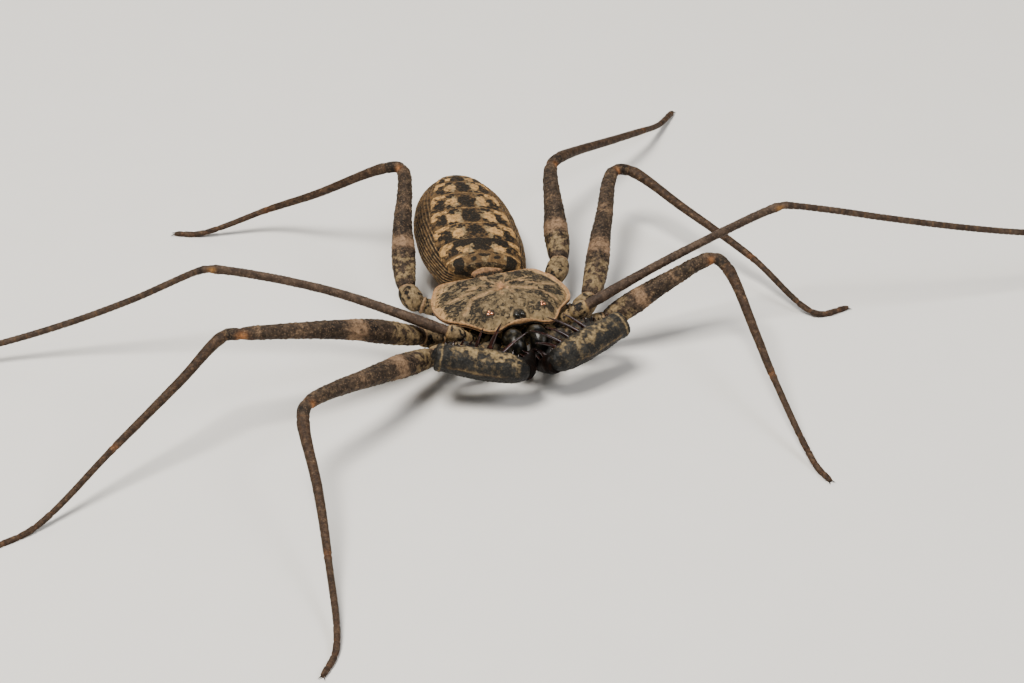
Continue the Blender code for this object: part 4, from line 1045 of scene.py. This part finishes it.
def make_leg(number, side):
    """One walking leg as a single shell, from inside the body to its claws."""
    name = f"{number}_{side}"
    radius, stance, start = TROCHANTER_RADIUS[number], STANCE[name], leg_start(number, side)
    route = Route([*start, *stance])
    places = {"hip": start[-1], "knee": stance[KNEE], "shin": stance[SHIN_TOP], "ankle": stance[ANKLE]}
    at = {part: route.nearest(place) for part, place in places.items()}
    at["femur"] = at["hip"] + radius + HIP_GAP
    knee, shin, ankle, foot = at["knee"], at["shin"], at["ankle"], route.length
    at["joints"] = [ankle + share * (foot - ankle) for share in TARSUS_JOINTS]
    profile = hip_profile(at["hip"], radius)
    profile += scaled(FEMUR_SECTIONS, at["femur"], knee - at["femur"], FEMUR_RADIUS)
    profile += scaled(KNEE_SECTIONS, knee) + scaled(PATELLA_SECTIONS, shin)
    profile += scaled(SHIN_SECTIONS, shin, ankle - shin, SHIN_RADIUS) + scaled(ANKLE_SECTIONS, ankle)
    for joint in at["joints"]:
        profile += scaled(FOOT_JOINT_SECTIONS, joint)
    profile += scaled(TOE_SECTIONS, foot)
    s = np.arange(0.0, foot + 0.05, 0.075)
    on_femur = step(at["femur"], at["femur"] + 0.6, s) * step(knee, knee - 0.5, s)
    grain = grainy(0.055, 0.34, 61 + number, ridges=6, ridge_height=0.018)
    grid, angles = limb(route, s, smooth_profile(profile, s), sides=48, depth=0.92, floor=0.0,
                        relief=lambda g, a: grain(g, a) * (0.3 + 0.7 * on_femur[:, None]))
    band = BAND_PLACES.get(name, USUAL_BAND_PLACE)
    grids = [grid]
    marks = [leg_marks(number, band, grid, s[:, None], np.sin(angles)[None], at, radius)]
    end, ahead = route.at(foot), route.along(foot)
    for sign in (-1.0, 1.0):
        aside = unit(np.cross(ahead, (0.0, 0.0, 1.0))) * sign
        root, bend = end - ahead * 0.1 + aside * 0.06, (0.0, 0.0, -0.06)
        claw = spike(root, ahead + aside * 0.5, 0.42, 0.07, bend, rows=8)
        claw[..., 2] = np.maximum(claw[..., 2], 0.0)
        grids.append(claw)
        marks.append({"dark": 0.8, "gloss": 0.6})
    nodes = [f"leg_{name}_{part}" for part in ("trochanter", "femur", "tibia", "tarsus")]
    piece(f"leg_{name}_shell", grids, marks, "leg_shell", nodes)


def make_feeler(side):
    """One feeler leg: hip, slim femur and the long ringed whip."""
    radius, start = TROCHANTER_RADIUS[1], leg_start(1, side)
    route = Route([*start, *FEELER_FEMUR[side], *WHIP[side]])
    hip, knee = route.nearest(start[-1]), route.nearest(FEELER_FEMUR[side][1])
    femur = hip + radius + HIP_GAP
    profile = hip_profile(hip, radius) + scaled(FEELER_SECTIONS, femur, knee - femur)
    profile += scaled(FEELER_KNEE_SECTIONS, knee)
    for share in np.linspace(0.03, 1.0, 12):
        size = WHIP_RADIUS + (WHIP_TIP_RADIUS - WHIP_RADIUS) * share ** 3
        profile.append((knee + share * (route.length - knee), size))
    distances = np.arange(0.0, route.length + 0.03, 0.06)
    s = distances[:, None]
    on_whip = step(knee + 0.3, knee + 0.6, s)
    phase = ((s - knee) / WHIP_RING) % 1.0
    radii = smooth_profile(profile, distances)[:, None]
    radii = radii * (1.0 + on_whip * (0.09 * phase - 0.06 - 0.12 * bell(phase, 0.0, 0.09)))
    grain = grainy(0.03, 0.24, 91, ridges=5, ridge_height=0.008)
    grid, angles = limb(route, distances, radii, sides=28,
                        relief=lambda g, a: grain(g, a) * (1.0 - 0.7 * on_whip))
    blots = noise(grid, 0.5, 93, 3)
    hips, rings = hip_marks(s, hip, radius)
    below = step(0.95, -0.1, np.sin(angles)[None])
    pale_rings = on_whip * bell((((s - knee) / (2.0 * WHIP_RING)) % 1.0), 0.08, 0.07)
    marks = {
        "pale": 0.5 * rings + 0.2 * pale_rings,
        "tan": hips * (0.6 + 0.4 * step(0.4, 0.6, blots)) + rings,
        "warm": 0.62 * bell(s, knee - 0.25, 0.3) * below + 0.12 * pale_rings + 0.2 * rings,
        "dark": 0.9 * hips * step(0.44, 0.62, noise(grid, 0.3, 97, 3)) * (1.0 - np.clip(rings, 0, 1))
        + 0.32 * on_whip + 0.3 * bell(s, knee + 0.4, 0.4),
        "gloss": 0.3,
        "bare": 0.7 * on_whip,
    }
    nodes = [f"leg_1_{side}_{part}" for part in ("trochanter", "femur", "whip_1", "whip_2", "whip_3")]
    piece(f"leg_1_{side}_shell", [grid], [marks], "whip_shell", nodes)


def palp_arm(side, sign, elbow, backward):
    """A pedipalp's arm, from the body to the elbow: its route, where its hip ends, shell and marks."""
    hip, root = mirrored(PALP_HIP, side), mirrored(PALP_ROOT, side)
    knob = backward * ELBOW_KNOB + np.array((0.0, 0.0, -ELBOW_DROP))
    end = elbow + knob + unit(knob) * 0.3
    bend = end + backward * 0.4 + np.array((-0.6 * sign, 0.0, -0.15))
    middle = (hip + bend) / 2 + PALP_FEMUR_BOW
    route = Route([root, (root + hip) / 2, hip, middle, bend, end, elbow + knob * 0.3])
    at_hip, at_end = route.nearest(hip), route.nearest(end)
    start = at_hip + PALP_HIP_RADIUS + 0.1
    profile = [(0.0, 0.45), (start - 0.05, 0.5), (at_end, 0.32), (at_end + 0.25, 0.55), (route.length, 0.75)]
    profile += scaled(PALP_HIP_SECTIONS, at_hip)
    profile += scaled(PALP_FEMUR_SECTIONS, start, at_end - start, PALP_FEMUR_RADIUS)
    distances = np.arange(0.0, route.length, 0.06)
    grain = grainy(0.05, 0.3, 101, ridges=5, ridge_height=0.015)
    arm, _ = limb(route, distances, smooth_profile(profile, distances, 0.06), sides=56, relief=grain)
    s = distances[:, None]
    blots = noise(arm, 0.6, 103, 3)
    marks = {
        "pale": 0.35 * bell(s, start, 0.1) + 0.5 * bell(s, at_end + 0.1, 0.1),
        "tan": (0.5 - 0.15 * step(start + 0.1, start - 0.1, s)) * step(0.45, 0.65, blots),
        "warm": 0.2 * bell(s, start, 0.1) + 0.2 * bell(s, at_end + 0.1, 0.12),
        "dark": 0.8 * step(0.5, 0.38, blots),
    }
    return route, start, arm, marks


def palp_tibia(side, sign, bar):
    """A pedipalp's broad tibia round its middle line: mottled brown on top, with a low pale line."""
    shares = np.linspace(0.0, 1.0, 190)
    denser = 0.5 - 0.5 * np.cos(np.pi * shares)
    distances = -0.5 + (bar.length + 0.9) * (0.5 * denser + 0.5 * shares)
    profile = scaled(PALP_ELBOW_SECTIONS, 0.0, size=PALP_TIBIA_RADIUS)
    profile += scaled(PALP_TIBIA_SECTIONS, 0.0, bar.length, PALP_TIBIA_RADIUS)
    profile += scaled(PALP_WRIST_SECTIONS, bar.length, size=PALP_TIBIA_RADIUS)
    grain = grainy(0.045, 0.26, 107 + int(sign), ridges=4, ridge_height=0.02)

    def relief(grid, angles):
        ridge = bell(np.abs((angles - 5.2 + np.pi) % (2 * np.pi) - np.pi), 0.0, 0.1)[None]
        return grain(grid, angles) + 0.06 * ridge + 0.08 * (noise(grid, 0.8, 109, 2) - 0.5)

    radii = smooth_profile(profile, distances, 0.06)
    tibia, angles = limb(bar, distances, radii, sides=150, depth=0.95, relief=relief)
    s = (distances / bar.length)[:, None]
    blots = 0.55 * noise(tibia, 0.6, 113 + int(sign), 3) + 0.45 * noise(tibia, 0.25, 115, 2)
    round_it = (angles if side == "right" else np.pi - angles)[None] + 0.5 * (noise(tibia, 1.1, 117, 2) - 0.5)
    round_it = (round_it + np.pi) % (2.0 * np.pi) - np.pi
    strip = (bell(round_it, 1.5, 0.34) + 0.6 * bell(round_it, 0.95, 0.2)) * PALP_STRIP[side]
    strip = step(0.06, 0.16, s) * step(1.0, 0.85, s) * strip
    low_line = bell(round_it, -0.05, 0.09) * step(0.02, 0.1, s) * step(0.9, 0.6, s)
    streaks = step(0.45, 0.65, blots + 0.07 * np.sin(s * 60.0 + 5.0 * blots))
    return tibia, {
        "pale": strip * (0.25 + 0.7 * step(0.38, 0.6, blots)) + 0.26 * streaks * step(-0.6, 0.2, round_it)
        + 0.3 * low_line + 0.5 * bell(s, -0.02, 0.014),
        "warm": 0.12 * low_line,
        "dark": 0.75 * step(0.86, 1.0, s) + 0.45 * step(0.3, -0.5, round_it) * (1.0 - low_line),
        "gloss": 0.2 * step(0.7, 1.0, s),
    }


def make_palp(side):
    """One pedipalp: arm, broad mottled tibia, dark hand and claw, and its glossy spines."""
    sign = 1.0 if side == "left" else -1.0
    elbow, wrist, near, far, *tip = (np.array(place) for place in PALP[side])
    backward = unit(np.array((-0.2 * sign, 1.0, 0.0)))
    arm_route, arm_start, arm, arm_marks = palp_arm(side, sign, elbow, backward)
    bar = Route([elbow, (elbow + wrist) / 2, wrist])
    tibia, tibia_marks = palp_tibia(side, sign, bar)

    hand_route = Route([wrist - backward * 0.1, wrist + (near - wrist) * 0.5, near, far])
    length = hand_route.length
    distances = np.linspace(0.0, length + 0.1, 60)
    profile = [(0.0, 0.75), (0.5, 0.85), (length * 0.6, 0.62), (length - 0.1, 0.36), (length + 0.1, 0.1)]
    radii = smooth_profile(profile, distances, 0.06)
    hand, _ = limb(hand_route, distances, radii, sides=32, relief=grainy(0.02, 0.3, 121))
    claw_route = Route([near * 0.3 + far * 0.7, far, *tip])
    distances = np.linspace(0.0, claw_route.length, 50)
    radii = 0.27 * (1.0 - distances / claw_route.length) ** 0.7 + SPIKE_TIP_RADIUS
    claw, _ = limb(claw_route, distances, radii, sides=20)
    nodes = [f"palp_{side}_{part}" for part in ("trochanter", "femur", "tibia", "hand", "claw")]
    marks = [arm_marks, tibia_marks]
    piece(f"palp_{side}_shell", [arm, tibia], marks, "palp_shell", nodes[:3])
    piece(f"palp_{side}_hand_shell", [hand, claw], [{}] * 2, "hand_shell", nodes[3:])
    make_spines(side, sign, bar, hand_route, arm_route, arm_start)


def make_spines(side, sign, bar, hand, arm, arm_start):
    """The long glossy spines of a pedipalp, and the small ones between them."""
    random = np.random.default_rng(7 if side == "left" else 8)
    spines = []
    inward, low = np.array((-1.5 * sign, 0.64, 0.98)), np.array((-0.8 * sign, 0.75, -0.1))

    def on_tibia(share, *out):
        return bar.at(share * bar.length) + np.array(out) * PALP_TIBIA_RADIUS

    def on_femur(share, *out):
        centre = arm.at(arm_start + share * (arm.length - arm_start - 1.6))
        return centre + np.array(out) * PALP_FEMUR_RADIUS

    for share, length, radius, direction, bend in TIBIA_SPINES[side]:
        root = on_tibia(share, 0.0, 0.72, 0.72)
        spines.append(spike(root, direction, length, radius, bend, rows=22, sides=12))
    for share, length in SHORT_SPINES:
        spines.append(spike(on_tibia(share, 0.0, 0.85, -0.35), low, length, 0.13, (-0.05 * sign, -0.05, 0.1)))
    for share, length in HAND_SPINES[side]:
        root = hand.at(share * hand.length) + np.array((0.0, 0.0, 0.4))
        spines.append(spike(root, (-0.5, 0.3, 0.8), length, 0.12, (-0.2, 0.1, -0.1)))
    for share in np.linspace(0.1, 0.97, 12):
        for tilt in (0.72, -0.3):
            out = unit(np.array((0.0, 0.8, tilt)))
            root = on_tibia(share, *(out * 0.97)) + random.normal(0.0, 0.05, 3)
            size = random.uniform(0.14, 0.36)
            spines.append(spike(root, out + inward * 0.25, size, 0.06, rows=7, sides=6))
    for share, length in FEMUR_SPINES:
        direction, bend = (-0.3 * sign, -0.1, 1.0), (-0.08 * sign, -0.1, 0.0)
        spines.append(spike(on_femur(share, 0.0, -0.2, 0.88), direction, length, 0.14, bend))
    for share in np.linspace(0.15, 0.85, 7):
        root, size = on_femur(share, 0.0, -0.25, 0.85), random.uniform(0.2, 0.4)
        spines.append(spike(root, (-0.2 * sign, -0.3, 1.0), size, 0.06, rows=7, sides=6))
    piece(f"palp_{side}_spines", spines, [{}] * len(spines), "spine_shell")


def make_jaws():
    """The two glossy black jaws with their fangs."""
    for side in ("left", "right"):
        route = Route([mirrored(point, side) for point in CHELICERA_POINTS])
        distances = np.linspace(0.0, route.length, 110)
        radii = smooth_profile(scaled(CHELICERA_SECTIONS, 0.0, route.length), distances, 0.08)
        grid, _ = limb(route, distances, radii, sides=64, relief=grainy(0.022, 0.17, 131))
        high = step(3.75, 4.1, grid[..., 2]) * step(0.42, 0.62, noise(grid, 0.35, 133, 3))
        nodes = [f"chelicera_{side}"]
        piece(f"chelicera_{side}_shell", [grid], [{"pale": high}], "jaw_shell", nodes)


def make_underside():
    """The soft side walls and sternum under the shield, and the waist."""
    route = Route(STERNUM_POINTS)
    distances = np.linspace(0.0, route.length, 160)
    radii = smooth_profile(scaled(STERNUM_SECTIONS, 0.0, route.length), distances, 0.15)
    grid, _ = limb(route, distances, radii, sides=120, depth=0.34, relief=grainy(0.03, 0.35, 141))
    blots = noise(grid, 0.6, 143, 3)
    marks = {"pale": 0.4 + 0.4 * (blots - 0.5), "dark": step(0.55, 0.65, blots), "warm": 0.2}
    piece("underside_shell", [grid], [marks], "coxa_shell", ["underside", "pedicel"])


def make_floor():
    """A plain pale floor, which is not part of the animal."""
    bpy.ops.mesh.primitive_plane_add(size=4.0)
    floor = bpy.context.object
    floor.name = "floor"
    look = Look("floor_card", 0.85, specular=0.2)
    look.paint("Base Color", look.mix(*FLOOR_COLOURS, look.noise(6.0)))
    floor.data.materials.append(look.material)


def make_studio():
    """Soft light from above and a little from the front, and a dim sky."""
    for name, place, size, power, colour in LIGHTS:
        data = bpy.data.lights.new(name, "AREA")
        data.size = size
        data.energy = power
        data.color = colour
        light = bpy.data.objects.new(name, data)
        light.location = place
        light.rotation_euler = (-Vector(place)).to_track_quat("-Z", "Y").to_euler()
        bpy.context.scene.collection.objects.link(light)
    world = bpy.data.worlds.new("sky")
    world.use_nodes = True
    sky = world.node_tree.nodes["Background"].inputs
    sky["Color"].default_value = (*SKY_COLOUR, 1.0)
    sky["Strength"].default_value = SKY_STRENGTH
    bpy.context.scene.world = world


def make_camera():
    """The camera, which looks down on the animal from its front right."""
    data = bpy.data.cameras.new("camera")
    data.lens = CAMERA_LENS
    data.sensor_width = CAMERA_SENSOR
    data.clip_start = 0.01
    camera = bpy.data.objects.new("camera", data)
    level, turn = math.cos(CAMERA_ELEVATION), CAMERA_AZIMUTH
    back = np.array((math.sin(turn) * level, -math.cos(turn) * level, math.sin(CAMERA_ELEVATION)))
    camera.location = (CAMERA_TARGET + BODY_AT + back * CAMERA_DISTANCE) * MM
    camera.rotation_euler = Vector(back).to_track_quat("Z", "Y").to_euler()
    bpy.context.scene.collection.objects.link(camera)
    bpy.context.scene.camera = camera


def main():
    """Builds the dressed animal and its studio."""
    make_looks()
    make_carapace()
    make_eyes()
    make_abdomen()
    make_first_tergite()
    make_underside()
    make_jaws()
    for side in ("left", "right"):
        make_palp(side)
        make_feeler(side)
        for number in (2, 3, 4):
            make_leg(number, side)
    make_floor()
    make_studio()
    make_camera()


main()
